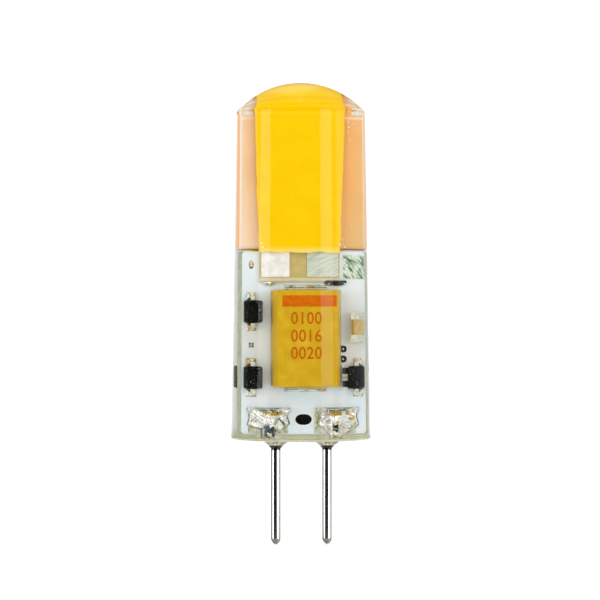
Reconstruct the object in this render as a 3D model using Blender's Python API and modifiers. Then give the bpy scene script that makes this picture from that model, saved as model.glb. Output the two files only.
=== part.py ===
"""Low-voltage LED capsule bulb with a two-pin plug-in base, in metres, with +Z up.

A flexible light strip is folded over a core plate above a small driver board. Board, core, strip and the
tops of the two contact pins are moulded into one clear silicone capsule, whose inside follows every piece.
The origin is the middle of the capsule's flat underside. The board's front faces -Y.
"""

import math

import bmesh
import bpy
from mathutils import Matrix, Vector

MM = 0.001

# Fits
SEAT_GAP = 0.05 * MM
PART_GAP = 0.02 * MM
CAP_GAP = 0.008 * MM
MERGE = 0.0001 * MM
OVERRUN = 1.0 * MM

# Contact pins, and the solder that holds each to its pad
PIN_PITCH = 4.0 * MM
PIN_RADIUS = 0.375 * MM
PIN_REACH = 8.2 * MM
PIN_POINT_LENGTH = 0.5 * MM
PIN_HOLD = 2.25 * MM
FILLET_HEIGHT_SHARES = (1.06, 1.0, 0.86, 0.68, 0.5, 0.34, 0.2, 0.08, 0.02)
FILLET_RADIUS_SHARES = (0.3, 0.66, 0.93, 1.0, 0.86, 0.62, 0.5, 0.44, 0.42)
FILLET_FLATTEN_SHARE = 0.62

# Parts that stand in one row across the board
DIODE_WIDTH = 1.2 * MM
DIODE_LENGTH = 1.75 * MM
DIODE_HEIGHT = 0.95 * MM
TANTALUM_WIDTH = 4.2 * MM
TANTALUM_LENGTH = 7.5 * MM
TANTALUM_HEIGHT = 2.9 * MM
RESISTOR_WIDTH = 0.38 * MM
RESISTOR_LENGTH = 0.95 * MM
RESISTOR_HEIGHT = 0.35 * MM
CHIP_WIDTH = 0.95 * MM
CHIP_LENGTH = 2.3 * MM
CHIP_HEIGHT = 0.8 * MM
LEFT_LANE = 0.62 * MM
RIGHT_LANE = 0.04 * MM
LEFT_MARGIN = 0.12 * MM
EDGE_MARGIN = 0.04 * MM
RESISTOR_GAP = 0.06 * MM
DIODE_DROP = 0.17 * MM
DIODE_TOP_DROP = 0.81 * MM
CHIP_RISE = 0.85 * MM

# Moulded bodies and their leads
BODY_EDGE = 0.09 * MM
BODY_DRAFT_SHARE = 0.03
TERMINAL_THICKNESS = 0.12 * MM
TERMINAL_LIFT = 0.16 * MM
TERMINAL_RISE_SHARE = 0.5
TERMINAL_FOOT_SHARE = 0.17
TERMINAL_WIDTH_SHARE = 0.57
LEAD_THICKNESS = 0.12 * MM
LEAD_WIDTH = 0.32 * MM
LEAD_REACH = 0.55 * MM
LEAD_EXIT_SHARE = 0.45
LEAD_KNEE_SHARE = 0.36
CAP_WALL = 0.03 * MM
CAP_END_SHARE = 0.24

# Driver chip and sense resistor on the board's back
DRIVER_WIDTH = 1.6 * MM
DRIVER_LENGTH = 2.9 * MM
DRIVER_HEIGHT = 1.1 * MM
DRIVER_PITCH = 0.95 * MM
DRIVER_RISE = 1.05 * MM
SENSE_DROP = 2.2 * MM

# Board, from its foot upwards
BOARD_FOOT = 0.45 * MM
BOARD_THICKNESS = 0.8 * MM
BOARD_CORNER = 0.25 * MM
BOARD_OFFSET = 0.14 * MM
VIA_RADIUS = 0.16 * MM
VIA_MARGIN = 0.74 * MM
PAD_THICKNESS = 0.04 * MM
PAD_INSET = 0.07 * MM
PIN_PAD_WIDTH = 2.45 * MM
PIN_PAD_HEIGHT = 2.0 * MM
LOWER_LANE = 1.64 * MM
UPPER_LANE = 0.5 * MM
TAIL_LENGTH = 2.35 * MM
TEST_PAD_LANE = 0.24 * MM
TEST_PAD_DROP = 0.3 * MM
TEST_PAD_HEIGHT = 1.8 * MM

# Core plate and folded strip
CORE_GAP = 0.1 * MM
CORE_HEIGHT = 10.45 * MM
CORE_CORNER = 0.35 * MM
STRIP_SHIFT = 0.28 * MM
STRIP_WIDTH = 4.7 * MM
STRIP_THICKNESS = 0.2 * MM
COATING_THICKNESS = 0.6 * MM
COATING_OVERHANG = 0.125 * MM
COATING_FLARE = 0.6 * MM
COATING_EDGE = 0.2 * MM
CONTACT_HEIGHT = 2.05 * MM
CONTACT_SHARES = {"left": (-0.485, -0.119), "right": (0.099, 0.49)}
BEAD_DROP = 0.32 * MM
BEAD_DEPTH = 0.4 * MM
BEAD_SHARES = {"left": (-0.365, 0.095), "right": (0.45, 0.13)}

# Silicone capsule
BASE_WALL = 1.43 * MM
CROWN_WALL = 0.82 * MM
DOME_RADIUS = 6.8 * MM
SHOULDER_FILLET = 0.5 * MM
BASE_EDGE = 0.18 * MM
WALL_DRAFT = math.radians(1.0)
SKIRT_RADIUS = 1.45 * MM
SKIRT_DROP = 0.7 * MM
SKIRT_LIP = 0.1 * MM
SKIRT_BOW = 1.5

# Facets
CAPSULE_STEPS = 72
SMALL_STEPS = 24
CORE_STEPS = 11
STRIP_STEPS = 12
COATING_STEPS = 16
ARC_STEPS = 4
CURVE_STEPS = 6
DOME_STEPS = 10
EDGE_STEPS = 3

# Places across the board, from its left edge to its right
LEFT_PARTS = LEFT_MARGIN + DIODE_WIDTH + LEFT_LANE
RIGHT_PARTS = 2 * RIGHT_LANE + RESISTOR_WIDTH + DIODE_WIDTH + EDGE_MARGIN
BOARD_WIDTH = LEFT_PARTS + TANTALUM_WIDTH + RIGHT_PARTS
BOARD_LEFT = BOARD_OFFSET - BOARD_WIDTH / 2
BOARD_RIGHT = BOARD_OFFSET + BOARD_WIDTH / 2
DIODE_LEFT_X = BOARD_LEFT + LEFT_MARGIN + DIODE_WIDTH / 2
DIODE_RIGHT_X = BOARD_RIGHT - EDGE_MARGIN - DIODE_WIDTH / 2
RESISTOR_X = DIODE_RIGHT_X - DIODE_WIDTH / 2 - RIGHT_LANE - RESISTOR_WIDTH / 2
TANTALUM_X = RESISTOR_X - RESISTOR_WIDTH / 2 - RIGHT_LANE - TANTALUM_WIDTH / 2
CHIP_X = BOARD_RIGHT - EDGE_MARGIN - CHIP_WIDTH / 2
STRIP_X = BOARD_OFFSET - STRIP_SHIFT
TEST_PAD_LEFT = STRIP_X + STRIP_WIDTH / 2 + TEST_PAD_LANE
TEST_PAD_RIGHT = BOARD_RIGHT - EDGE_MARGIN
BASE_RADIUS = BOARD_WIDTH / 2 + BOARD_OFFSET + BASE_WALL

# Places up the bulb
PIN_TOP = BOARD_FOOT + PIN_HOLD - PIN_RADIUS
TANTALUM_FOOT = BOARD_FOOT + PIN_PAD_HEIGHT + LOWER_LANE
TANTALUM_Z = TANTALUM_FOOT + TANTALUM_LENGTH / 2
DIODE_LOW_Z = TANTALUM_FOOT + DIODE_LENGTH / 2 - DIODE_DROP
DIODE_HIGH_Z = TANTALUM_FOOT + TANTALUM_LENGTH - DIODE_TOP_DROP - DIODE_LENGTH / 2
RESISTOR_STEP = (RESISTOR_LENGTH + RESISTOR_GAP) / 2
TAIL_END = TANTALUM_FOOT + TANTALUM_LENGTH + TERMINAL_THICKNESS + UPPER_LANE
BOARD_TOP = TAIL_END + TAIL_LENGTH
CORE_FOOT = BOARD_TOP + CORE_GAP
BEND_Z = CORE_FOOT + CORE_HEIGHT

# Depths from the middle of the board towards its front
BOARD_FRONT = BOARD_THICKNESS / 2
PAD_FRONT = BOARD_FRONT + PART_GAP + PAD_THICKNESS
PIN_DEPTH = PAD_FRONT + PART_GAP + PIN_RADIUS
STRIP_INNER = BOARD_FRONT + PART_GAP
CONTACT_INNER = STRIP_INNER + STRIP_THICKNESS + PART_GAP
COATING_INNER = CONTACT_INNER
COATING_OUTER = COATING_INNER + COATING_THICKNESS
COATING_WIDTH = STRIP_WIDTH + 2 * COATING_OVERHANG
COATING_TOP_WIDTH = COATING_WIDTH + COATING_FLARE


def start_scene():
    """Empty scene with one collection for the bulb and one for what cuts it."""
    for old in list(bpy.data.objects):
        bpy.data.objects.remove(old)
    made = []
    for name in ("led_capsule_bulb", "cutters"):
        group = bpy.data.collections.new(name)
        bpy.context.scene.collection.children.link(group)
        made.append(group)
    return made


BULB, CUTTERS = start_scene()


def material(name, colour, roughness, metallic=0.0, clear=0.0):
    """Principled material, clear for what lets light through."""
    made = bpy.data.materials.new(name)
    made.use_nodes = True
    surface = made.node_tree.nodes["Principled BSDF"]
    surface.inputs["Base Color"].default_value = (*colour, 1.0)
    surface.inputs["Roughness"].default_value = roughness
    surface.inputs["Metallic"].default_value = metallic
    surface.inputs["Transmission Weight"].default_value = clear
    return made


SILICONE = material("clear_silicone", (0.93, 0.94, 0.9), 0.08, clear=1.0)
WHITE_BOARD = material("white_board", (0.8, 0.84, 0.85), 0.45)
PEACH = material("peach_ceramic", (0.92, 0.62, 0.38), 0.55)
FLEX = material("tan_flex", (0.6, 0.5, 0.26), 0.5)
PHOSPHOR = material("yellow_phosphor", (0.98, 0.62, 0.01), 0.5)
TIN = material("tinned_copper", (0.78, 0.78, 0.74), 0.25, metallic=1.0)
SOLDER = material("solder", (0.74, 0.74, 0.7), 0.2, metallic=1.0)
PIN_METAL = material("plated_pin", (0.8, 0.8, 0.8), 0.12, metallic=1.0)
TANTALUM_RESIN = material("tantalum_resin", (0.66, 0.4, 0.03), 0.4)
BLACK_RESIN = material("black_resin", (0.02, 0.022, 0.02), 0.4)
CERAMIC = material("chip_ceramic", (0.5, 0.36, 0.14), 0.5)

# Place across, place up, and side of the board: 1 is its front and -1 its back
DIODES = {
    "diode_1": (DIODE_LEFT_X, DIODE_HIGH_Z, 1),
    "diode_2": (DIODE_LEFT_X, DIODE_LOW_Z, 1),
    "diode_3": (DIODE_RIGHT_X, DIODE_LOW_Z, 1),
    "diode_4": (DIODE_LEFT_X, DIODE_LOW_Z, -1),
}

# Place across, place up, then width, length and height, then side of the board
RESISTOR_SIZE = (RESISTOR_WIDTH, RESISTOR_LENGTH, RESISTOR_HEIGHT)
CHIPS = {
    "ceramic_capacitor": (CHIP_X, TANTALUM_Z + CHIP_RISE, CHIP_WIDTH, CHIP_LENGTH, CHIP_HEIGHT, 1),
    "resistor_1": (RESISTOR_X, DIODE_LOW_Z + RESISTOR_STEP, *RESISTOR_SIZE, 1),
    "resistor_2": (RESISTOR_X, DIODE_LOW_Z - RESISTOR_STEP, *RESISTOR_SIZE, 1),
    "sense_resistor": (BOARD_OFFSET, TANTALUM_Z - SENSE_DROP, CHIP_WIDTH, CHIP_LENGTH, RESISTOR_HEIGHT, -1),
}
CHIP_FINISHES = {"ceramic_capacitor": CERAMIC}

# Width, length and height of the tantalum capacitor's terminals
TERMINAL_WIDTH = TERMINAL_WIDTH_SHARE * TANTALUM_WIDTH
TERMINAL_RISE = TERMINAL_RISE_SHARE * TANTALUM_HEIGHT
TERMINAL_FOOT = TERMINAL_FOOT_SHARE * TANTALUM_LENGTH
LEAD_RISE = LEAD_EXIT_SHARE * DIODE_HEIGHT


def keep(piece, name, finish):
    """Name a finished piece, give it its material and put it in the bulb's collection."""
    piece.name = name
    piece.data.name = name
    piece.data.materials.clear()
    piece.data.materials.append(finish)
    BULB.objects.link(piece)
    return piece


def keep_cutter(piece, name):
    """Name a cutter and keep it out of sight."""
    piece.name = name
    piece.hide_render = True
    piece.display_type = "WIRE"
    CUTTERS.objects.link(piece)
    return piece


def mesh_object(build):
    """Object around the mesh that build fills."""
    mesh = bpy.data.meshes.new("shape")
    work = bmesh.new()
    build(work)
    bmesh.ops.recalc_face_normals(work, faces=work.faces)
    work.to_mesh(mesh)
    work.free()
    return bpy.data.objects.new("shape", mesh)


def box(low, high):
    """Block between two corners."""
    size = Vector(high) - Vector(low)
    centre = (Vector(high) + Vector(low)) / 2

    def build(work):
        bmesh.ops.create_cube(work, size=1.0)
        bmesh.ops.scale(work, vec=size, verts=work.verts)
        bmesh.ops.translate(work, vec=centre, verts=work.verts)

    return mesh_object(build)


def soften(piece, width, segments=2):
    """Round a piece's sharp edges."""
    bevel = piece.modifiers.new("soften", "BEVEL")
    bevel.width = width
    bevel.segments = segments
    bevel.limit_method = "ANGLE"
    bevel.angle_limit = math.radians(40)
    bevel.use_clamp_overlap = True
    return piece


def turned(profile, steps):
    """Solid of revolution about Z from an outline of radius and height, top to bottom."""
    mesh = bpy.data.meshes.new("profile")
    edges = [(i, i + 1) for i in range(len(profile) - 1)]
    mesh.from_pydata([(radius, 0, height) for radius, height in profile], edges, [])
    piece = bpy.data.objects.new("turned", mesh)
    screw = piece.modifiers.new("turn", "SCREW")
    screw.angle = math.tau
    screw.steps = steps
    screw.render_steps = steps
    screw.use_merge_vertices = True
    screw.merge_threshold = MERGE
    screw.use_smooth_shade = True
    return piece


def flat_outline(loops, thickness, turn):
    """Plate from closed 2D loops, with the first as its rim and the others as holes."""
    curve = bpy.data.curves.new("outline", "CURVE")
    curve.dimensions = "2D"
    curve.fill_mode = "BOTH"
    curve.extrude = thickness / 2
    for points in loops:
        spline = curve.splines.new("POLY")
        spline.points.add(len(points) - 1)
        for point, (across, up) in zip(spline.points, points):
            point.co = (across, up, 0, 1)
        spline.use_cyclic_u = True
    piece = bpy.data.objects.new("outline", curve)
    piece.rotation_euler = turn
    return piece


# A front outline is drawn in X and Z. A side outline is drawn in depth towards the front and Z.
FRONT_VIEW = (math.pi / 2, 0, 0)
SIDE_VIEW = (math.pi / 2, 0, -math.pi / 2)


def as_mesh(piece):
    """Closed mesh object in place of a curve object, so that it can be cut or can cut."""
    bpy.context.scene.collection.objects.link(piece)
    bpy.context.view_layer.update()
    evaluated = piece.evaluated_get(bpy.context.evaluated_depsgraph_get())
    mesh = bpy.data.meshes.new_from_object(evaluated)
    work = bmesh.new()
    work.from_mesh(mesh)
    bmesh.ops.remove_doubles(work, verts=work.verts, dist=MERGE)
    bmesh.ops.transform(work, matrix=piece.matrix_world, verts=work.verts)
    bmesh.ops.recalc_face_normals(work, faces=work.faces)
    work.to_mesh(mesh)
    work.free()
    bpy.data.objects.remove(piece)
    return bpy.data.objects.new("shape", mesh)


def cut(piece, cutter, operation="DIFFERENCE"):
    """Boolean with a cutter."""
    boolean = piece.modifiers.new(operation.lower(), "BOOLEAN")
    boolean.solver = "EXACT"
    boolean.operation = operation
    boolean.object = cutter
    return piece


def arc(centre, radius, start, end, steps):
    """Points on an arc, both ends included."""
    turns = [start + (end - start) * i / steps for i in range(steps + 1)]
    return [(centre[0] + radius * math.cos(t), centre[1] + radius * math.sin(t)) for t in turns]


def rounded_rectangle(left, right, foot, top, low_corner, high_corner):
    """Front outline with its own radius for the lower and the upper corners."""
    quarter = math.pi / 2
    points = arc((right - low_corner, foot + low_corner), low_corner, -quarter, 0, ARC_STEPS)
    points += arc((right - high_corner, top - high_corner), high_corner, 0, quarter, ARC_STEPS)
    points += arc((left + high_corner, top - high_corner), high_corner, quarter, math.pi, ARC_STEPS)
    points += arc((left + low_corner, foot + low_corner), low_corner, math.pi, math.pi + quarter, ARC_STEPS)
    return points


def folded_band(inner, outer, front_end, back_end, bend_z, width, steps):
    """Strip folded over the top of the core, from its inner and outer distance to the mid plane."""
    points = [(outer, front_end)]
    points += arc((0, bend_z), outer, 0, math.pi, steps)
    points += [(-outer, back_end), (-inner, back_end)]
    points += arc((0, bend_z), inner, math.pi, 0, steps)
    points += [(inner, front_end)]
    band = as_mesh(flat_outline([points], width, SIDE_VIEW))
    band.data.transform(Matrix.Translation((STRIP_X, 0, 0)))
    return band


def make_board():
    """Board with a plated through hole beside the strip's tail."""
    rim = rounded_rectangle(BOARD_LEFT, BOARD_RIGHT, BOARD_FOOT, BOARD_TOP, BOARD_CORNER, BOARD_CORNER)
    via = (BOARD_LEFT + VIA_MARGIN, BOARD_TOP - TAIL_LENGTH / 2)
    hole = arc(via, VIA_RADIUS, 0, math.tau, SMALL_STEPS)[:-1]
    board = as_mesh(flat_outline([rim, hole], BOARD_THICKNESS, FRONT_VIEW))
    keep(board, "main_board", WHITE_BOARD)


def core_plate(foot, gap):
    """Plate with a half-round top edge, which the strip's bend follows."""
    half, top = BOARD_FRONT + gap, BEND_Z + BOARD_FRONT + gap
    rim = rounded_rectangle(BOARD_LEFT - gap, BOARD_RIGHT + gap, foot, top, BOARD_CORNER, CORE_CORNER)
    plate = as_mesh(flat_outline([rim], BOARD_THICKNESS + 2 * gap, FRONT_VIEW))
    under = foot - OVERRUN
    side = [(half, under)] + arc((0, BEND_Z), half, 0, math.pi, CORE_STEPS) + [(-half, under)]
    edge = as_mesh(flat_outline([side], 2 * BOARD_WIDTH, SIDE_VIEW))
    cut(plate, keep_cutter(edge, "core_edge"), "INTERSECT")
    return plate


def make_core():
    """Plate that carries the folded strip, as thick as the board that it stands on."""
    keep(core_plate(CORE_FOOT, 0), "led_core", PEACH)


def flare(piece, extra):
    """Widen a band evenly from the foot of the core to its bend."""
    for vertex in piece.data.vertices:
        share = min(max((vertex.co.z - CORE_FOOT) / (BEND_Z - CORE_FOOT), 0.0), 1.0)
        side = math.copysign(1.0, vertex.co.x - STRIP_X)
        vertex.co.x += side * share * extra / 2


def make_strip():
    """Folded flexible strip with its phosphor coating and the two contact areas on its tail."""
    outer = STRIP_INNER + STRIP_THICKNESS
    strip = folded_band(STRIP_INNER, outer, TAIL_END, CORE_FOOT, BEND_Z, STRIP_WIDTH, STRIP_STEPS)
    keep(strip, "strip_substrate", FLEX)
    foot = CORE_FOOT + PART_GAP
    coating = folded_band(COATING_INNER, COATING_OUTER, foot, foot, BEND_Z, COATING_WIDTH, COATING_STEPS)
    flare(coating, COATING_FLARE)
    coating.data.shade_smooth()
    keep(soften(coating, COATING_EDGE, 2), "phosphor_coating", PHOSPHOR)

    top = CORE_FOOT - PART_GAP
    for side, (start_share, end_share) in CONTACT_SHARES.items():
        left = STRIP_X + start_share * STRIP_WIDTH
        right = STRIP_X + end_share * STRIP_WIDTH
        low = (left, -CONTACT_INNER - PAD_THICKNESS, top - CONTACT_HEIGHT)
        keep(box(low, (right, -CONTACT_INNER, top)), f"strip_contact_{side}", TIN)


def solder_bead(x, z, half_width, drop, depth):
    """Bead that hangs from the tail's end and lies on the board: a quarter of a squashed ball."""

    def build(work):
        bmesh.ops.create_uvsphere(work, u_segments=16, v_segments=10, radius=1.0)
        bmesh.ops.scale(work, vec=(half_width, depth, drop), verts=work.verts)
        bmesh.ops.translate(work, vec=(x, -(BOARD_FRONT + PART_GAP), z), verts=work.verts)
        for point, normal in (((0, -(BOARD_FRONT + PART_GAP), 0), (0, 1, 0)), ((0, 0, z), (0, 0, 1))):
            geometry = work.verts[:] + work.edges[:] + work.faces[:]
            sliced = bmesh.ops.bisect_plane(
                work, geom=geometry, dist=MERGE, plane_co=point, plane_no=normal, clear_outer=True
            )
            rim = [part for part in sliced["geom_cut"] if isinstance(part, bmesh.types.BMEdge)]
            bmesh.ops.holes_fill(work, edges=rim, sides=0)

    bead = mesh_object(build)
    bead.data.shade_smooth()
    bead.data.set_sharp_from_angle(angle=math.radians(50))
    return bead


def make_tail_beads():
    """Two solder beads that join the strip's tail to the board."""
    for side, (place_share, width_share) in BEAD_SHARES.items():
        x = STRIP_X + place_share * STRIP_WIDTH
        bead = solder_bead(x, TAIL_END - PART_GAP, width_share * STRIP_WIDTH, BEAD_DROP, BEAD_DEPTH)
        keep(bead, f"strip_solder_{side}", SOLDER)


def pin_profile(grow):
    """Outline of a contact pin with its rounded point, made larger by grow."""
    radius = PIN_RADIUS + grow
    turns = [math.pi / 2 * i / CURVE_STEPS for i in range(CURVE_STEPS + 1)]
    nose = [
        (radius * math.cos(turn), -PIN_REACH + PIN_POINT_LENGTH * (1 - math.sin(turn))) for turn in turns
    ]
    return [(0, PIN_TOP + grow), (radius, PIN_TOP + grow)] + nose


def fillet_profile(grow):
    """Outline of the solder round a pin's top: a mound that narrows to a neck lower down."""
    widest = PIN_PAD_WIDTH / 2 - SEAT_GAP
    heights = [BOARD_FOOT + share * PIN_PAD_HEIGHT for share in FILLET_HEIGHT_SHARES]
    radii = [share * widest + grow for share in FILLET_RADIUS_SHARES]
    top, bottom = heights[0] + grow, heights[-1] - grow
    return [(0, top)] + list(zip(radii, [top] + heights[1:-1] + [bottom])) + [(0, bottom)]


def pin_place(side):
    """Where a pin's axis meets the base plane."""
    return Vector((side * PIN_PITCH / 2, -PIN_DEPTH, 0))


def make_pins():
    """Contact pins, their pads on the board and the solder that holds them."""
    behind = box((-BASE_RADIUS, -(PAD_FRONT + PART_GAP), -OVERRUN), (BASE_RADIUS, OVERRUN, BOARD_TOP))
    keep_cutter(behind, "behind_pads")
    for side, name in ((-1, "left"), (1, "right")):
        place = pin_place(side)
        pin = turned(pin_profile(0), SMALL_STEPS)
        pin.location = place
        keep(pin, f"contact_pin_{name}", PIN_METAL)

        low = (place.x - PIN_PAD_WIDTH / 2, -PAD_FRONT, BOARD_FOOT + PAD_INSET)
        high = (place.x + PIN_PAD_WIDTH / 2, -(BOARD_FRONT + PART_GAP), BOARD_FOOT + PIN_PAD_HEIGHT)
        keep(box(low, high), f"pin_pad_{name}", TIN)

        bore = turned(pin_profile(PART_GAP), SMALL_STEPS)
        bore.location = place
        bore.rotation_euler.z = math.pi / SMALL_STEPS
        keep_cutter(bore, f"solder_bore_{name}")
        fillet = turned(fillet_profile(0), SMALL_STEPS)
        fillet.location = place
        fillet.scale = (1, FILLET_FLATTEN_SHARE, 1)
        cut(fillet, bore)
        cut(fillet, behind)
        keep(fillet, f"pin_solder_{name}", SOLDER)


def moulded_body(low, high):
    """Resin block with a parting line at half its height and drafted faces above and below it."""
    draft = BODY_DRAFT_SHARE * abs(high[1] - low[1])
    centre = (Vector(low) + Vector(high)) / 2

    def build(work):
        bmesh.ops.create_cube(work, size=1.0)
        geometry = work.verts[:] + work.edges[:] + work.faces[:]
        bmesh.ops.bisect_plane(work, geom=geometry, dist=0, plane_co=(0, 0, 0), plane_no=(0, 1, 0))
        bmesh.ops.scale(work, vec=Vector(high) - Vector(low), verts=work.verts)
        for vertex in work.verts:
            if abs(vertex.co.y) > MERGE:
                vertex.co.x -= math.copysign(draft, vertex.co.x)
                vertex.co.z -= math.copysign(draft, vertex.co.z)
        bmesh.ops.translate(work, vec=centre, verts=work.verts)

    return mesh_object(build)


def block_span(x, z, width, length, height, side, clear=0.0):
    """Corners of a block that lies on the board's front (side 1) or back (side -1), grown by clear."""
    near = BOARD_FRONT + PART_GAP - clear
    far = BOARD_FRONT + PART_GAP + height + clear
    depths = sorted((-side * near, -side * far))
    low = (x - width / 2 - clear, depths[0], z - length / 2 - clear)
    high = (x + width / 2 + clear, depths[1], z + length / 2 + clear)
    return low, high


def make_tantalum():
    """Moulded tantalum capacitor on two folded terminals."""
    low, high = block_span(TANTALUM_X, TANTALUM_Z, TANTALUM_WIDTH, TANTALUM_LENGTH, TANTALUM_HEIGHT, 1)
    body = moulded_body(low, (high[0], high[1] - TERMINAL_LIFT, high[2]))
    keep(soften(body, BODY_EDGE, 2), "tantalum_body", TANTALUM_RESIN)
    for name, end in (("cathode", -1), ("anode", 1)):
        keep(folded_terminal(end), f"tantalum_{name}", TIN)


def folded_terminal(end):
    """Terminal that leaves the capacitor's end at half height, runs down it and folds in under it."""
    face = TANTALUM_LENGTH / 2 + PART_GAP
    base = BOARD_FRONT + PART_GAP
    points = [
        (base, face - TERMINAL_FOOT),
        (base, face + TERMINAL_THICKNESS),
        (base + TERMINAL_RISE, face + TERMINAL_THICKNESS),
        (base + TERMINAL_RISE, face),
        (base + TERMINAL_THICKNESS, face),
        (base + TERMINAL_THICKNESS, face - TERMINAL_FOOT),
    ]
    placed = [(depth, TANTALUM_Z + end * along) for depth, along in points]
    terminal = as_mesh(flat_outline([placed], TERMINAL_WIDTH, SIDE_VIEW))
    terminal.data.transform(Matrix.Translation((TANTALUM_X, 0, 0)))
    return terminal


def gull_lead(body_half, out_axis, normal, across, centre):
    """Bent lead: out of the body's end, down to the board and out along it."""
    root = body_half + PART_GAP
    knee = root + LEAD_REACH * LEAD_KNEE_SHARE
    points = [
        (root, LEAD_RISE),
        (root, LEAD_RISE + LEAD_THICKNESS),
        (knee + LEAD_THICKNESS, LEAD_RISE + LEAD_THICKNESS),
        (knee + LEAD_THICKNESS, LEAD_THICKNESS),
        (root + LEAD_REACH, LEAD_THICKNESS),
        (root + LEAD_REACH, 0),
        (knee, 0),
        (knee, LEAD_RISE),
    ]
    lead = as_mesh(flat_outline([points], LEAD_WIDTH, (0, 0, 0)))
    lead.data.transform(frame_matrix(out_axis, normal, across, centre))
    if Vector(out_axis).cross(Vector(normal)).dot(Vector(across)) < 0:
        lead.data.flip_normals()
    return lead


def frame_matrix(first, second, third, origin):
    """Matrix that carries local X, Y and Z to three given directions."""
    turn = Matrix((first, second, third)).transposed().to_4x4()
    return Matrix.Translation(origin) @ turn


def make_diodes():
    """Bridge of four diodes, each a small moulded body with two bent leads."""
    for name, (x, z, side) in DIODES.items():
        low, high = block_span(x, z, DIODE_WIDTH, DIODE_LENGTH, DIODE_HEIGHT, side)
        keep(soften(moulded_body(low, high), BODY_EDGE, 1), f"{name}_body", BLACK_RESIN)
        for end, label in ((1, "upper"), (-1, "lower")):
            centre = (x, -side * (BOARD_FRONT + PART_GAP), z)
            lead = gull_lead(DIODE_LENGTH / 2, (0, 0, end), (0, -side, 0), (side * end, 0, 0), centre)
            keep(lead, f"{name}_{label}_lead", TIN)


def make_chips():
    """Ceramic capacitor and resistors, each a ceramic block with a metal cap round either end."""
    for name, (x, z, width, length, height, side) in CHIPS.items():
        low, high = block_span(x, z, width, length, height, side)
        inset = Vector((CAP_WALL, CAP_WALL, CAP_WALL))
        body_low, body_high = Vector(low) + inset, Vector(high) - inset
        keep(box(body_low, body_high), f"{name}_body", CHIP_FINISHES.get(name, BLACK_RESIN))
        room = Vector((CAP_GAP, CAP_GAP, CAP_GAP))
        space = keep_cutter(box(body_low - room, body_high + room), f"{name}_hollow")
        depth = CAP_END_SHARE * length
        first = box(low, (high[0], high[1], low[2] + depth))
        second = box((low[0], low[1], high[2] - depth), high)
        keep(cut(first, space), f"{name}_first_cap", TIN)
        keep(cut(second, space), f"{name}_second_cap", TIN)


def make_driver():
    """Driver chip on the board's back, three leads on one side and two on the other."""
    driver_z = TANTALUM_Z + DRIVER_RISE
    low, high = block_span(BOARD_OFFSET, driver_z, DRIVER_WIDTH, DRIVER_LENGTH, DRIVER_HEIGHT, -1)
    keep(soften(moulded_body(low, high), BODY_EDGE, 1), "driver_body", BLACK_RESIN)
    places = [(-1, -1), (-1, 0), (-1, 1), (1, -1), (1, 1)]
    for number, (side, place) in enumerate(places, start=1):
        centre = (BOARD_OFFSET, BOARD_FRONT + PART_GAP, driver_z + place * DRIVER_PITCH)
        lead = gull_lead(DRIVER_WIDTH / 2, (side, 0, 0), (0, 1, 0), (0, 0, side), centre)
        keep(lead, f"driver_lead_{number}", TIN)


def make_test_pad():
    """Tinned pad on the board between the strip's tail and the board's edge."""
    top = BOARD_TOP - TEST_PAD_DROP
    low = (TEST_PAD_LEFT, -PAD_FRONT, top - TEST_PAD_HEIGHT)
    keep(box(low, (TEST_PAD_RIGHT, -(BOARD_FRONT + PART_GAP), top)), "test_pad", TIN)


def capsule_profile():
    """Outline of the capsule: shallow dome, small shoulder, drafted wall, flat underside."""
    lean, round_over = WALL_DRAFT, SHOULDER_FILLET
    strip_half = COATING_TOP_WIDTH / 2 + abs(STRIP_X)
    sag = DOME_RADIUS - math.sqrt(DOME_RADIUS**2 - strip_half**2)
    crown = BEND_Z + COATING_OUTER + CROWN_WALL + sag
    dome_centre = Vector((0, crown - DOME_RADIUS))

    # The shoulder's centre lies on a line inside the wall, at the dome's radius less its own.
    upward = Vector((-math.sin(lean), math.cos(lean)))
    foot = Vector((BASE_RADIUS - round_over / math.cos(lean), 0))
    from_dome = foot - dome_centre
    half = from_dome.dot(upward)
    reach = math.sqrt(half**2 - from_dome.length_squared + (DOME_RADIUS - round_over) ** 2) - half
    shoulder = foot + upward * reach
    meeting = math.atan2(shoulder.y - dome_centre.y, shoulder.x)

    edge = BASE_EDGE
    edge_x = BASE_RADIUS - (edge + edge * math.sin(lean)) / math.cos(lean)
    points = arc(dome_centre, DOME_RADIUS, math.pi / 2, meeting, DOME_STEPS)[:-1]
    points[0] = (0, crown)
    points += arc(shoulder, round_over, meeting, lean, ARC_STEPS)
    points += arc((edge_x, edge), edge, lean, -math.pi / 2, EDGE_STEPS)
    return points + [(0, 0)]


def skirt_profile():
    """Outline of the silicone that climbs down a pin: a hollow curve from the base to a thin lip."""
    tip = PIN_RADIUS + SEAT_GAP + SKIRT_LIP
    curve = []
    for i in range(CURVE_STEPS + 1):
        share = i / CURVE_STEPS
        curve.append((SKIRT_RADIUS - (SKIRT_RADIUS - tip) * share, -SKIRT_DROP * share**SKIRT_BOW))
    return [(0, BOARD_FOOT / 2), (SKIRT_RADIUS, BOARD_FOOT / 2)] + curve + [(0, -SKIRT_DROP)]


def board_seats(gap):
    """Room in the silicone for the board, the core plate and the test pad."""
    board_low = (BOARD_LEFT - gap, -BOARD_FRONT - gap, BOARD_FOOT - gap)
    board = box(board_low, (BOARD_RIGHT + gap, BOARD_FRONT + gap, CORE_FOOT))
    core = core_plate(CORE_FOOT - 2 * gap, gap)
    pad_top = BOARD_TOP - TEST_PAD_DROP
    pad_low = (TEST_PAD_LEFT - gap, -PAD_FRONT - gap, pad_top - TEST_PAD_HEIGHT - gap)
    return [board, core, box(pad_low, (TEST_PAD_RIGHT + gap, 0, pad_top + gap))]


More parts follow.
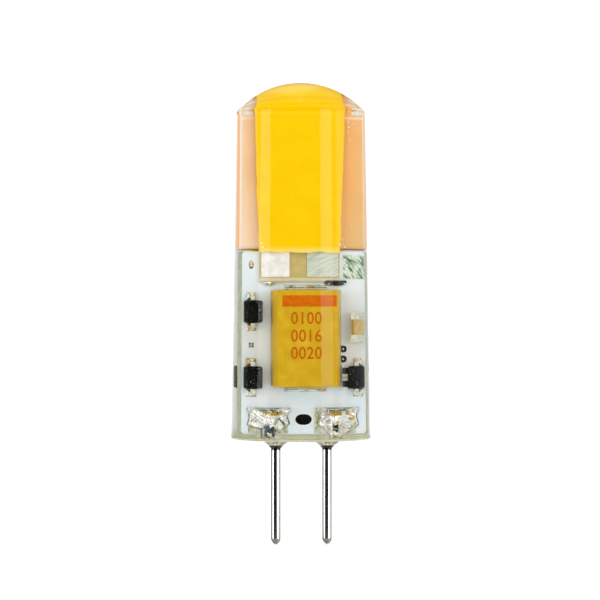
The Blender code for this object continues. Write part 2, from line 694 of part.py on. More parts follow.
def strip_seats(gap):
    """Room in the silicone for the folded strip, its coating, its contacts and its solder beads."""
    inner, outer = STRIP_INNER - gap, STRIP_INNER + STRIP_THICKNESS + gap
    foot = CORE_FOOT - gap
    strip = folded_band(inner, outer, TAIL_END - gap, foot, BEND_Z, STRIP_WIDTH + 2 * gap, STRIP_STEPS)
    coating = folded_band(
        STRIP_INNER + gap, COATING_OUTER + gap, foot, foot, BEND_Z, COATING_WIDTH + 2 * gap, COATING_STEPS
    )
    flare(coating, COATING_FLARE)
    contact_low = (
        STRIP_X - STRIP_WIDTH / 2, -CONTACT_INNER - PAD_THICKNESS - PART_GAP, foot - CONTACT_HEIGHT
    )
    contacts = box(contact_low, (STRIP_X + STRIP_WIDTH / 2, -STRIP_INNER, CORE_FOOT + gap))
    made = [strip, coating, contacts]
    for place_share, width_share in BEAD_SHARES.values():
        x = STRIP_X + place_share * STRIP_WIDTH
        half = width_share * STRIP_WIDTH + gap
        low = (x - half, -(BOARD_FRONT + PART_GAP + BEAD_DEPTH + gap), TAIL_END - BEAD_DROP - gap)
        made.append(box(low, (x + half, 0, TAIL_END)))
    return made


def part_seats(gap):
    """Room in the silicone for the capacitors, diodes, resistors and driver, down to the board's middle."""
    terminal_length = TANTALUM_LENGTH + 2 * (PART_GAP + TERMINAL_THICKNESS)
    lead_height = LEAD_RISE + LEAD_THICKNESS
    diode_span = DIODE_LENGTH + 2 * (PART_GAP + LEAD_REACH)
    driver_span = DRIVER_WIDTH + 2 * (PART_GAP + LEAD_REACH)
    driver_z = TANTALUM_Z + DRIVER_RISE
    blocks = [
        (TANTALUM_X, TANTALUM_Z, TANTALUM_WIDTH, TANTALUM_LENGTH, TANTALUM_HEIGHT, 1),
        (TANTALUM_X, TANTALUM_Z, TERMINAL_WIDTH, terminal_length, TERMINAL_RISE, 1),
        (BOARD_OFFSET, driver_z, DRIVER_WIDTH, DRIVER_LENGTH, DRIVER_HEIGHT, -1),
    ]
    for place in (-1, 0, 1):
        row_z = driver_z + place * DRIVER_PITCH
        blocks.append((BOARD_OFFSET, row_z, driver_span, LEAD_WIDTH, lead_height, -1))
    for x, z, side in DIODES.values():
        blocks.append((x, z, DIODE_WIDTH, DIODE_LENGTH, DIODE_HEIGHT, side))
        blocks.append((x, z, LEAD_WIDTH, diode_span, lead_height, side))
    blocks += CHIPS.values()
    made = []
    for block in blocks:
        low, high = block_span(*block, gap)
        made.append(box((low[0], min(low[1], 0), low[2]), (high[0], max(high[1], 0), high[2])))
    return made


def pin_seats(gap):
    """Room in the silicone for the pins, their pads and their solder."""
    made = []
    for side in (-1, 1):
        place = pin_place(side)
        half = PIN_PAD_WIDTH / 2 + gap
        pad_low = (place.x - half, -PAD_FRONT - gap, BOARD_FOOT + PAD_INSET - gap)
        made.append(box(pad_low, (place.x + half, 0, BOARD_FOOT + PIN_PAD_HEIGHT + gap)))
        fillet = turned(fillet_profile(gap), SMALL_STEPS)
        fillet.location = place
        fillet.scale = (1, FILLET_FLATTEN_SHARE, 1)
        made.append(fillet)
        bore = turned(pin_profile(gap), SMALL_STEPS)
        bore.location = place
        bore.rotation_euler.z = math.pi / SMALL_STEPS
        made.append(bore)
    return made


def make_capsule():
    """Clear capsule, with a skirt down each pin and a seat for everything moulded into it."""
    capsule = turned(capsule_profile(), CAPSULE_STEPS)
    for side, name in ((-1, "left"), (1, "right")):
        skirt = turned(skirt_profile(), SMALL_STEPS)
        skirt.location = pin_place(side)
        cut(capsule, keep_cutter(skirt, f"skirt_{name}"), "UNION")
    seats = board_seats(SEAT_GAP) + strip_seats(SEAT_GAP) + part_seats(SEAT_GAP) + pin_seats(SEAT_GAP)
    for number, seat in enumerate(seats):
        cut(capsule, keep_cutter(seat, f"seat_{number:02d}"))
    keep(capsule, "silicone_capsule", SILICONE)


make_board()
make_core()
make_strip()
make_tail_beads()
make_pins()
make_tantalum()
make_diodes()
make_chips()
make_driver()
make_test_pad()
make_capsule()
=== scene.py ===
import math

import bpy
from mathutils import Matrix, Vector, noise


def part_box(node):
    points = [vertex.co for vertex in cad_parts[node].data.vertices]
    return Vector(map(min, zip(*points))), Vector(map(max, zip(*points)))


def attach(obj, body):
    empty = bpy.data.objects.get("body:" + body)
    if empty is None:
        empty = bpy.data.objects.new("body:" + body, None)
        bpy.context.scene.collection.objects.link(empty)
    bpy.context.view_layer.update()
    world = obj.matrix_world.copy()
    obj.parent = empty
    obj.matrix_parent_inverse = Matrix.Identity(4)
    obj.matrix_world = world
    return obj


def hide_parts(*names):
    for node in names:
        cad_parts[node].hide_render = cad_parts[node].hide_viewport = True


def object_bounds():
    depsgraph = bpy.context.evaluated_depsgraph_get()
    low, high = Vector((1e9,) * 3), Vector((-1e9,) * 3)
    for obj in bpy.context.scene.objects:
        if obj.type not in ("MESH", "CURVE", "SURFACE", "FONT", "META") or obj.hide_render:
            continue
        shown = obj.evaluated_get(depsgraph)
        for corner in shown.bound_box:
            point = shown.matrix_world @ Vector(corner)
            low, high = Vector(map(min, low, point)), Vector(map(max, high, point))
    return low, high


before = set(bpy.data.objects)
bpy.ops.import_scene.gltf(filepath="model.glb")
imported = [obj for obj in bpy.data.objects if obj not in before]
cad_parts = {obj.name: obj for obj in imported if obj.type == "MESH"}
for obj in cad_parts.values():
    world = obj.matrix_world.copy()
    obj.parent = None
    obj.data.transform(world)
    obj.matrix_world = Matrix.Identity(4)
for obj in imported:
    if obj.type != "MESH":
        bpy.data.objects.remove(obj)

# A clear silicone capsule bulb: a folded yellow light strip above a driver board, on two contact pins.
# Lengths are in metres, +Z is up along the bulb, and the board's front faces -Y.
MM = 0.001
CAD_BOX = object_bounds()


# Camera. It stands level with the bulb's middle and a little to the left of its front, as a
# product photograph does, far enough off that the bulb shows almost without perspective.
VIEW_AZIMUTH = math.radians(-4.5)
VIEW_DISTANCE = 200 * MM
VIEW_HEIGHT = 10.82 * MM
VIEW_WIDTH = 46.9 * MM
SENSOR_WIDTH = 36.0
FRAME_SHIFT = -0.5 / 600
NEAREST_SEEN = 10 * MM


def towards(azimuth, distance, height):
    """Point at a distance from the bulb's axis, with azimuth 0 at the front and 90 degrees at the right."""
    return Vector((math.sin(azimuth) * distance, -math.cos(azimuth) * distance, height))


lens = bpy.data.cameras.new("camera")
lens.sensor_width = SENSOR_WIDTH
lens.lens = SENSOR_WIDTH * VIEW_DISTANCE / VIEW_WIDTH
lens.shift_x = FRAME_SHIFT
lens.clip_start = NEAREST_SEEN
camera = bpy.data.objects.new("camera", lens)
camera.location = towards(VIEW_AZIMUTH, VIEW_DISTANCE, VIEW_HEIGHT)
camera.rotation_euler = (math.pi / 2, 0, VIEW_AZIMUTH)
bpy.context.scene.collection.objects.link(camera)
bpy.context.scene.camera = camera
bpy.context.scene.view_settings.view_transform = "Standard"


# Studio. White surroundings light the bulb, and the camera sees them at full white. What bare metal and the
# silicone's skin mirror is dark in front and overhead, and bright at the sides, behind and low down, with a
# softbox at either side. Through the silicone the room is darker behind, with a dark flag above the camera.
AMBIENT = 1.0
BACKDROP_WHITE = 1.0
STUDIO_WHITE = (1.0, 1.0, 1.0, 1.0)
# Azimuth in degrees, with 0 at the front and 90 at the right, and brightness there
MIRRORED_ROOM = (
    (-180, 1.9), (-169, 1.9), (-163, 0.75), (-150, 0.75), (-128, 0.16), (-84, 0.12), (-79, 0.02),
    (34, 0.02), (42, 0.75), (51, 0.3), (59, 0.3), (64, 2.2), (73, 2.4), (77, 0.4),
    (130, 0.45), (150, 0.75), (163, 0.75), (169, 1.9), (180, 1.9),
)
ROOM_THROUGH = (
    (-180, 0.52), (-120, 0.66), (-90, 0.8), (-60, 1.1), (-42, 1.1), (-34, 0.3), (-26, 1.6), (16, 1.6),
    (24, 0.3), (32, 1.1), (50, 1.1), (90, 0.8), (120, 0.66), (180, 0.52),
)
# Share of the way from straight down to straight up, and brightness there
MIRRORED_CEILING = (
    (0.0, 1.0), (0.65, 1.0), (0.69, 0.16), (0.76, 0.26), (0.85, 0.5), (0.905, 0.62),
    (0.935, 0.44), (0.98, 0.36), (0.996, 0.32), (1.0, 0.12),
)
MIRRORED_FLOOR = ((0.0, 0.65), (0.36, 0.6), (0.43, 0.0), (1.0, 0.0))
CEILING_THROUGH = ((0.0, 0.9), (0.62, 1.0), (0.8, 1.0), (1.0, 0.85))
# The dark flag: its azimuth, and its share of the way up
FLAG_ACROSS = ((-180, 0.0), (-75, 0.0), (-60, 1.0), (50, 1.0), (65, 0.0), (180, 0.0))
FLAG_UP = ((0.0, 0.0), (0.69, 0.0), (0.73, 0.85), (0.81, 0.85), (0.85, 0.0), (1.0, 0.0))


def feed(tree, value, socket):
    """Link a socket's value to a socket, or set a number or colour there."""
    if isinstance(value, bpy.types.NodeSocket):
        tree.links.new(value, socket)
    else:
        socket.default_value = value


def combined(tree, operation, first, second):
    """Socket with the result of a sum on two values, each a socket or a number."""
    node = tree.nodes.new("ShaderNodeMath")
    node.operation = operation
    feed(tree, first, node.inputs[0])
    feed(tree, second, node.inputs[1])
    return node.outputs[0]


def brightness_along(tree, position, lowest, highest, stops):
    """Socket with the brightness that the stops give for a position between lowest and highest."""
    way = tree.nodes.new("ShaderNodeMapRange")
    way.inputs["From Min"].default_value = lowest
    way.inputs["From Max"].default_value = highest
    tree.links.new(position, way.inputs["Value"])
    room = tree.nodes.new("ShaderNodeValToRGB")
    while len(room.color_ramp.elements) < len(stops):
        room.color_ramp.elements.new(0.5)
    for element, (place, brightness) in zip(room.color_ramp.elements, stops):
        element.position = (place - stops[0][0]) / (stops[-1][0] - stops[0][0])
        element.color = (brightness, brightness, brightness, 1.0)
    tree.links.new(way.outputs["Result"], room.inputs["Fac"])
    return room.outputs["Color"]


world = bpy.data.worlds.new("studio")
world.use_nodes = True
bpy.context.scene.world = world
tree = world.node_tree
backdrop = tree.nodes["Background"]
backdrop.inputs["Color"].default_value = STUDIO_WHITE
path = tree.nodes.new("ShaderNodeLightPath").outputs
direction = tree.nodes.new("ShaderNodeSeparateXYZ")
tree.links.new(tree.nodes.new("ShaderNodeTexCoord").outputs["Generated"], direction.inputs["Vector"])
backwards = combined(tree, "MULTIPLY", direction.outputs["Y"], -1.0)
bearing = combined(tree, "ARCTAN2", direction.outputs["X"], backwards)


def product_along(across, up):
    """Socket with the product of what two rows of stops give, by azimuth and by the way up."""
    sideways = brightness_along(tree, bearing, -math.pi, math.pi, across)
    return combined(tree, "MULTIPLY", sideways, brightness_along(tree, direction.outputs["Z"], -1, 1, up))


unflagged = combined(tree, "SUBTRACT", 1.0, product_along(FLAG_ACROSS, FLAG_UP))
through = combined(tree, "MULTIPLY", product_along(ROOM_THROUGH, CEILING_THROUGH), unflagged)
low_light = brightness_along(tree, direction.outputs["Z"], -1, 1, MIRRORED_FLOOR)
mirrored = combined(tree, "MAXIMUM", product_along(MIRRORED_ROOM, MIRRORED_CEILING), low_light)
strength = AMBIENT
for ray, seen in (
    ("Is Glossy Ray", mirrored), ("Is Transmission Ray", through), ("Is Camera Ray", BACKDROP_WHITE),
):
    chosen = tree.nodes.new("ShaderNodeMix")
    feed(tree, path[ray], chosen.inputs["Factor"])
    feed(tree, strength, chosen.inputs["A"])
    feed(tree, seen, chosen.inputs["B"])
    strength = chosen.outputs["Result"]
tree.links.new(strength, backdrop.inputs["Strength"])

SOFTBOX_DISTANCE = 400 * MM
SOFTBOX_HEIGHT = 170 * MM
# Azimuth and width in degrees, and brightness against the white surroundings
SOFTBOXES = {"softbox_left": (-69.0, 22.0, 3.5), "softbox_right": (40.5, 22.0, 3.1)}
for name, (azimuth, width, brightness) in SOFTBOXES.items():
    lamp = bpy.data.lights.new(name, "AREA")
    lamp.shape = "RECTANGLE"
    lamp.size = 2 * SOFTBOX_DISTANCE * math.tan(math.radians(width / 2))
    lamp.size_y = SOFTBOX_HEIGHT
    lamp.energy = brightness * math.pi * lamp.size * lamp.size_y
    softbox = bpy.data.objects.new(name, lamp)
    softbox.location = towards(math.radians(azimuth), SOFTBOX_DISTANCE, VIEW_HEIGHT)
    softbox.rotation_euler = (math.pi / 2, 0, math.radians(azimuth))
    softbox.visible_transmission = False
    bpy.context.scene.collection.objects.link(softbox)

# The pale floor lies under the pins' points and keeps the bulb's soft shadow. Mirrors and the silicone
# show the studio in its place, so that no horizon crosses the bulb.
FLOOR_SIZE = 4000 * MM
FLOOR_PAINT = (0.8, 0.8, 0.8, 1.0)
FLOOR_SHADE = (0.3, 0.3, 0.3, 1.0)
FLOOR_GLOW = 0.76


def mix_shaders(tree, factor, first, second):
    """Show the second shader where the factor is 1, and the first elsewhere."""
    mix = tree.nodes.new("ShaderNodeMixShader")
    for value, socket in zip((factor, first.outputs["BSDF"], second.outputs["BSDF"]), mix.inputs):
        tree.links.new(value, socket)
    tree.links.new(mix.outputs["Shader"], tree.nodes["Material Output"].inputs["Surface"])


bpy.ops.object.select_all(action="DESELECT")
bpy.ops.mesh.primitive_plane_add(size=FLOOR_SIZE, location=(0, 0, CAD_BOX[0].z))
floor = bpy.context.object
floor.name = "floor"
floor.visible_glossy = False
floor.visible_transmission = False
floor_paint = bpy.data.materials.new("floor_paint")
floor_paint.use_nodes = True
tree = floor_paint.node_tree
plain = tree.nodes["Principled BSDF"]
plain.inputs["Base Color"].default_value = FLOOR_PAINT
plain.inputs["Specular IOR Level"].default_value = 0.0
shown = tree.nodes.new("ShaderNodeBsdfPrincipled")
shown.inputs["Base Color"].default_value = FLOOR_SHADE
shown.inputs["Specular IOR Level"].default_value = 0.0
shown.inputs["Emission Color"].default_value = STUDIO_WHITE
shown.inputs["Emission Strength"].default_value = FLOOR_GLOW
mix_shaders(tree, tree.nodes.new("ShaderNodeLightPath").outputs["Is Camera Ray"], plain, shown)
floor.data.materials.append(floor_paint)


# Driver board. A small glass-fibre board, white solder mask on both faces and bare fibre at its edges,
# with a plated hole beside the strip's tail. Its solid is right as it is and takes its finish here.
def tone(red, green, blue):
    """Linear colour from the 8-bit values that a screen shows."""
    shares = [value / 255 for value in (red, green, blue)]
    linear = [s / 12.92 if s <= 0.04045 else ((s + 0.055) / 1.055) ** 2.4 for s in shares]
    return (*linear, 1.0)


def new_finish(name, roughness, metallic=0.0):
    """New material. What isn't metal lies bonded in the silicone, so it has hardly any gloss of its own."""
    made = bpy.data.materials.new(name)
    made.use_nodes = True
    shader = made.node_tree.nodes["Principled BSDF"]
    shader.inputs["Roughness"].default_value = roughness
    shader.inputs["Metallic"].default_value = metallic
    if not metallic:
        shader.inputs["IOR"].default_value = 1.1
    return made


def place_on(made):
    """Socket with the place of each point on its piece."""
    return made.node_tree.nodes.new("ShaderNodeTexCoord").outputs["Object"]


def spots(made, grain, detail=2.0, stretch=(1, 1, 1), turn=0.0):
    """Socket with cloudy noise whose spots are one grain across, or longer where stretch is below 1."""
    nodes, links = made.node_tree.nodes, made.node_tree.links
    mapping = nodes.new("ShaderNodeMapping")
    mapping.vector_type = "TEXTURE"
    mapping.inputs["Rotation"].default_value = (0, turn, 0)
    mapping.inputs["Scale"].default_value = [grain / share for share in stretch]
    cloud = nodes.new("ShaderNodeTexNoise")
    cloud.inputs["Scale"].default_value = 1.0
    cloud.inputs["Detail"].default_value = detail
    links.new(place_on(made), mapping.inputs["Vector"])
    links.new(mapping.outputs["Vector"], cloud.inputs["Vector"])
    return cloud.outputs["Fac"]


def tones(made, factor, stops):
    """Socket with a colour that runs through the given stops, each a share of the factor and a colour."""
    ramp = made.node_tree.nodes.new("ShaderNodeValToRGB")
    elements = ramp.color_ramp.elements
    while len(elements) < len(stops):
        elements.new(0.5)
    for element, (share, colour) in zip(elements, stops):
        element.position = share
        element.color = colour
    made.node_tree.links.new(factor, ramp.inputs["Fac"])
    return ramp.outputs["Color"]


def mask(made, factor, stops):
    """Socket with a value that runs through the given stops, each a share of the factor and a value."""
    return tones(made, factor, [(share, (value, value, value, 1)) for share, value in stops])


def blend_colours(made, factor, first, second, way="MIX"):
    """Socket with the second colour laid on the first where the factor is 1."""
    mixed = made.node_tree.nodes.new("ShaderNodeMix")
    mixed.data_type = "RGBA"
    mixed.blend_type = way
    feed(made.node_tree, factor, mixed.inputs["Factor"])
    feed(made.node_tree, first, mixed.inputs[6])
    feed(made.node_tree, second, mixed.inputs[7])
    return mixed.outputs[2]


def colour_with(made, colour):
    """Give the shader its base colour, from a socket."""
    made.node_tree.links.new(colour, made.node_tree.nodes["Principled BSDF"].inputs["Base Color"])


def mottle(made, grain, *stops):
    """Colour a finish all over with cloudy noise that runs through the given stops."""
    colour_with(made, tones(made, spots(made, grain), stops))


def relief(made, height, depth):
    """Raise the surface by a height socket, on top of the relief that it already has."""
    nodes, links = made.node_tree.nodes, made.node_tree.links
    shader = nodes["Principled BSDF"]
    bump = nodes.new("ShaderNodeBump")
    bump.inputs["Distance"].default_value = depth
    if shader.inputs["Normal"].is_linked:
        links.new(shader.inputs["Normal"].links[0].from_socket, bump.inputs["Normal"])
    links.new(height, bump.inputs["Height"])
    links.new(bump.outputs["Normal"], shader.inputs["Normal"])


def grit(made, grain, depth, detail=2.0):
    """Give a finish a fine relief all over, with grains of a size."""
    relief(made, spots(made, grain, detail), depth)


def share_along(made, axis, start, end):
    """Socket that goes from 0 to 1 as a point's X, Y or Z goes from start to end."""
    nodes, links = made.node_tree.nodes, made.node_tree.links
    split = nodes.new("ShaderNodeSeparateXYZ")
    links.new(place_on(made), split.inputs["Vector"])
    span = nodes.new("ShaderNodeMapRange")
    span.inputs["From Min"].default_value = start
    span.inputs["From Max"].default_value = end
    links.new(split.outputs[axis], span.inputs["Value"])
    return span.outputs["Result"]


def faces_along(made, axis):
    """Socket that is 1 on faces that look along an axis, forwards or backwards, and 0 on the others."""
    nodes, links = made.node_tree.nodes, made.node_tree.links
    split = nodes.new("ShaderNodeSeparateXYZ")
    links.new(nodes.new("ShaderNodeNewGeometry").outputs["Normal"], split.inputs["Vector"])
    size = combined(made.node_tree, "ABSOLUTE", split.outputs[axis], 0.0)
    return combined(made.node_tree, "GREATER_THAN", size, 0.7)


def dress(node, made):
    """Give a CAD node a finish."""
    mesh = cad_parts[node].data
    mesh.materials.clear()
    mesh.materials.append(made)


solder_mask = new_finish("white_solder_mask", 0.28)
mask_colour = tones(
    solder_mask, spots(solder_mask, 2.4 * MM), [(0.35, tone(230, 244, 252)), (0.65, tone(240, 248, 251))]
)
fibre_colour = tones(
    solder_mask,
    spots(solder_mask, 0.12 * MM, stretch=(0.2, 1, 0.2)),
    [(0.4, tone(162, 170, 142)), (0.6, tone(188, 193, 168))],
)
colour_with(solder_mask, blend_colours(solder_mask, faces_along(solder_mask, "Y"), fibre_colour, mask_colour))
grit(solder_mask, 0.5 * MM, 0.006 * MM, detail=4.0)
dress("main_board", solder_mask)
board_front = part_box("main_board")[0].y


# Board print. Black ink and bare copper on the board's front: a slot between the pins, drawn as a black disc
# that is painted shade for the hole's dark inside, with a pale rim, two rings beside the capacitor, a
# four-dot mark and a gold ring round the plated hole.
INK = 0.012 * MM
SLOT_PLACE = (0.14 * MM, 1.54 * MM)
SLOT_SIZE = (0.94 * MM, 0.84 * MM)
SLOT_RIM = 0.09 * MM
RING_PLACES = ((2.43 * MM, 6.99 * MM), (2.43 * MM, 6.21 * MM))
RING_SIZE = (0.44 * MM, 0.56 * MM)
RING_LINE = 0.17 * MM
MARK_PLACE = (-3.02 * MM, 7.3 * MM)
MARK_STEP = 0.1 * MM
MARK_DOT = (0.17 * MM, 0.19 * MM)
VIA_PLACE = (-3.04 * MM, 13.6 * MM)
VIA_SIZE = (0.42 * MM, 0.5 * MM)


def select_only(piece):
    """Make a piece the only one that the operators act on."""
    bpy.ops.object.select_all(action="DESELECT")
    piece.select_set(True)
    bpy.context.view_layer.objects.active = piece


def move_to_origin(piece):
    """Put a piece's place, turn and scale into its mesh."""
    select_only(piece)
    bpy.ops.object.transform_apply(location=True, rotation=True, scale=True)
    return piece


def ink_spot(name, place, size, face, height):
    """Flat printed spot with round ends on a face that looks to the front."""
    radius = min(size) / 2
    bpy.ops.object.select_all(action="DESELECT")
    bpy.ops.mesh.primitive_circle_add(
        vertices=32, radius=radius, fill_type="NGON", rotation=(math.pi / 2, 0, 0)
    )
    spot = move_to_origin(bpy.context.object)
    spot.name = name
    bpy.ops.object.mode_set(mode="EDIT")
    bpy.ops.mesh.select_all(action="SELECT")
    bpy.ops.mesh.extrude_region_move(TRANSFORM_OT_translate={"value": (0, -height, 0)})
    bpy.ops.object.mode_set(mode="OBJECT")
    for vertex in spot.data.vertices:
        vertex.co.x += math.copysign(size[0] / 2 - radius, vertex.co.x) + place[0]
        vertex.co.z += math.copysign(size[1] / 2 - radius, vertex.co.z) + place[1]
        vertex.co.y += face
    return spot


def ink_ring(name, place, size, line, face):
    """Flat printed ring: a torus pressed almost flat on a face that looks to the front."""
    bpy.ops.object.select_all(action="DESELECT")
    bpy.ops.mesh.primitive_torus_add(
        major_radius=size[0] / 2 - line / 2, minor_radius=line / 2, major_segments=40, minor_segments=8,
        rotation=(math.pi / 2, 0, 0), location=(place[0], face, place[1]),
    )
    ring = bpy.context.object
    ring.name = name
    ring.scale = (1, size[1] / size[0], INK / line)
    return move_to_origin(ring)


def join(name, pieces):
    """One piece from several."""
    select_only(pieces[0])
    for piece in pieces:
        piece.select_set(True)
    bpy.ops.object.join()
    pieces[0].name = name
    pieces[0].data.name = name
    return pieces[0]


def outward(piece):
    """Turn all faces of a closed piece outwards."""
    select_only(piece)
    bpy.ops.object.mode_set(mode="EDIT")
    bpy.ops.mesh.select_all(action="SELECT")
    bpy.ops.mesh.normals_make_consistent(inside=False)
    bpy.ops.object.mode_set(mode="OBJECT")


black_ink_and_slot_shade = new_finish("black_ink_and_slot_shade", 0.5)
mottle(black_ink_and_slot_shade, 0.2 * MM, (0.4, tone(8, 12, 10)), (0.7, tone(26, 30, 28)))
grit(black_ink_and_slot_shade, 0.05 * MM, 0.003 * MM)
pale_ink = new_finish("pale_rim", 0.35)
mottle(pale_ink, 0.3 * MM, (0.4, tone(238, 242, 240)), (0.6, tone(250, 252, 250)))
grit(pale_ink, 0.05 * MM, 0.003 * MM)
grey_ink = new_finish("tarnished_copper", 0.5)
mottle(grey_ink, 0.1 * MM, (0.42, tone(84, 92, 70)), (0.58, tone(164, 156, 116)))
grit(grey_ink, 0.05 * MM, 0.004 * MM)
gold_plate = new_finish("gold_plate", 0.4)
mottle(gold_plate, 0.2 * MM, (0.4, tone(178, 150, 78)), (0.6, tone(224, 214, 176)))
grit(gold_plate, 0.05 * MM, 0.004 * MM)

# The slot's black disc is painted shade, standing in for the dark inside of the hole
painted_slot_shade = ink_spot("painted_slot_shade", SLOT_PLACE, SLOT_SIZE, board_front, 1.5 * INK)
rings = [ink_ring("ring", place, RING_SIZE, RING_LINE, board_front) for place in RING_PLACES]
rim_size = (SLOT_SIZE[0] + 2 * SLOT_RIM, SLOT_SIZE[1] + 2 * SLOT_RIM)
dots = []
for across in (-1, 1):
    for up in (-1, 1):
        place = (MARK_PLACE[0] + across * MARK_STEP, MARK_PLACE[1] + up * MARK_STEP)
        dots.append(ink_spot("dot", place, MARK_DOT, board_front, INK))
prints = {
    "black_print_and_slot_shade": (join("black_print_and_slot_shade", [painted_slot_shade] + rings), black_ink_and_slot_shade),
    "slot_rim": (ink_spot("slot_rim", SLOT_PLACE, rim_size, board_front, INK), pale_ink),
    "board_marks": (join("board_marks", dots), grey_ink),
    "plated_hole": (ink_ring("plated_hole", VIA_PLACE, VIA_SIZE, RING_LINE, board_front), gold_plate),
}
for piece, made in prints.values():
    outward(piece)
    piece.data.materials.append(made)
    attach(piece, "root")


# Core plate. A pale ceramic plate with round edges, that the strip is folded over. Its warmth is painted
# light from the phosphor, lighter at the left and more orange towards the right. Its sides are more orange,
# with a painted highlight as a light line where they meet the front. It is modelled here with its softened
# edges, and a little wider at its left, where the wall's lens shows it.
CORE_WIDENED = 0.24 * MM
CORE_SLANT = 0.25 * MM
CORE_SOFT_EDGE = 0.13 * MM
CORE_ROUND_STEPS = 12
CORE_FLAT = 0.001 * MM
PALE_FOOT = 5.5 * MM
# Where a painted reflection's middle lies across, how far it lies below the top, and its reach across and up
PAINTED_GLINTS = (-3.3 * MM, 3.4 * MM)
GLINT_DROP = 0.2 * MM
GLINT_REACH = (0.52 * MM, 0.19 * MM)
core_low, core_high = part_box("led_core")
core_low = core_low - Vector((CORE_WIDENED, 0, 0))


def box_piece(name, low, high):
    """Plain box between two corners, to be shaped further."""
    bpy.ops.object.select_all(action="DESELECT")
    bpy.ops.mesh.primitive_cube_add(size=1, location=(0, 0, 0))
    piece = bpy.context.object
    piece.name = name
    piece.scale = high - low
    piece.location = (low + high) / 2
    return move_to_origin(piece)


def soften_edges(piece, width, segments, angle):
    """Round off the edges that turn by more than an angle in degrees, and shade the piece smooth."""
    bevel = piece.modifiers.new("soft_edges", "BEVEL")
    bevel.width = width
    bevel.segments = segments
    bevel.limit_method = "ANGLE"
    bevel.angle_limit = math.radians(angle)
    select_only(piece)
    bpy.ops.object.modifier_apply(modifier="soft_edges")
    outward(piece)
    piece.data.shade_smooth()


core = box_piece("ceramic_plate", core_low, core_high)
for vertex in core.data.vertices:
    if vertex.co.y > 0:
        vertex.co.x += math.copysign(CORE_SLANT, vertex.co.x)
bpy.ops.object.mode_set(mode="EDIT")
bpy.ops.mesh.select_mode(type="EDGE")
bpy.ops.mesh.select_all(action="SELECT")
bpy.ops.mesh.bevel(offset=(core_high.y - core_low.y) / 2 - CORE_FLAT, segments=CORE_ROUND_STEPS)
bpy.ops.object.mode_set(mode="OBJECT")
soften_edges(core, CORE_SOFT_EDGE, 4, 50)
core.data.set_sharp_from_angle(angle=math.radians(50))


def patch_within(made, left, right, low, high, grain, cover):
    """Socket that is 1 in ragged spots inside a box seen from the front."""
    box = [(0.0, 0), (0.2, 1), (0.8, 1), (1.0, 0)]
    across = mask(made, share_along(made, "X", left, right), box)
    up = mask(made, share_along(made, "Z", low, high), box)
    ragged = mask(made, spots(made, grain, 3.0), [(cover, 0), (cover + 0.05, 1)])
    inside = blend_colours(made, 1.0, across, up, way="MULTIPLY")
    return blend_colours(made, 1.0, inside, ragged, way="MULTIPLY")


def within_ellipse(made, middle, reach):
    """Socket that rises from 0 at an ellipse's rim, seen from the front, to 1 at its middle."""
    tree, inside = made.node_tree, 1.0
    for axis, centre, half in zip("XZ", middle, reach):
        across = share_along(made, axis, centre - half, centre + half)
        off = combined(tree, "MULTIPLY", combined(tree, "SUBTRACT", across, 0.5), 2.0)
        inside = combined(tree, "SUBTRACT", inside, combined(tree, "MULTIPLY", off, off))
    return inside


peach = new_finish("peach_ceramic", 0.5)
shader = peach.node_tree.nodes["Principled BSDF"]
shader.inputs["Subsurface Weight"].default_value = 0.1
shader.inputs["Subsurface Radius"].default_value = (0.4 * MM, 0.2 * MM, 0.1 * MM)
from_left = share_along(peach, "X", core_low.x, core_high.x)
# Painted light: lighter at the left, more orange to the right, and thin painted highlights at both front
# edges
across = tones(
    peach, from_left,
    [(0.0, tone(255, 246, 234)), (0.015, tone(255, 246, 234)), (0.024, tone(255, 220, 180)),
     (0.35, tone(255, 214, 162)), (0.7, tone(255, 198, 126)), (0.978, tone(255, 200, 130)),
     (0.984, tone(255, 232, 204)), (0.993, tone(255, 232, 204)), (0.996, tone(254, 196, 134))],
)
cloud = tones(peach, spots(peach, 2.5 * MM, detail=3.0), [(0.35, tone(250, 246, 240)), (0.65, STUDIO_WHITE)])
front = blend_colours(peach, 1.0, across, cloud, way="MULTIPLY")
# Paler towards the bottom, with less painted phosphor light, and lighter at the left there too
pale_foot = mask(peach, share_along(peach, "Z", core_low.z, core_low.z + PALE_FOOT), [(0.0, 0.6), (1.0, 0)])
foot_colour = tones(peach, from_left, [(0.3, tone(252, 230, 214)), (0.7, tone(228, 198, 142))])
front = blend_colours(peach, pale_foot, front, foot_colour)
along = share_along(peach, "Z", core_low.z, core_high.z)
foot_line = mask(peach, along, [(0.0, 0.9), (0.008, 0.9), (0.014, 0)])
front = blend_colours(peach, foot_line, front, tone(206, 160, 90))
# Painted highlight: a light line along the front face's top edge
painted_top_highlight = mask(peach, along, [(0.93, 0), (0.942, 0.6), (0.952, 0.7), (0.956, 0)])
front = blend_colours(peach, painted_top_highlight, front, tone(254, 240, 228))
# Painted reflections of the bright room, as silvery patches on the round top edge beside the strip
for middle in PAINTED_GLINTS:
    inside = within_ellipse(peach, (middle, core_high.z - GLINT_DROP), GLINT_REACH)
    silver = tones(
        peach, inside,
        [(0.0, tone(168, 158, 128)), (0.2, tone(214, 214, 204)), (0.4, tone(252, 252, 250)),
         (0.7, tone(222, 222, 214)), (1.0, tone(250, 250, 248))],
    )
    front = blend_colours(peach, mask(peach, inside, [(0.0, 0), (0.12, 0.9)]), front, silver)
colour_with(peach, blend_colours(peach, faces_along(peach, "X"), front, tone(255, 188, 126)))
grit(peach, 0.15 * MM, 0.004 * MM)
core.data.materials.append(peach)
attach(core, "root")
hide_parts("led_core")


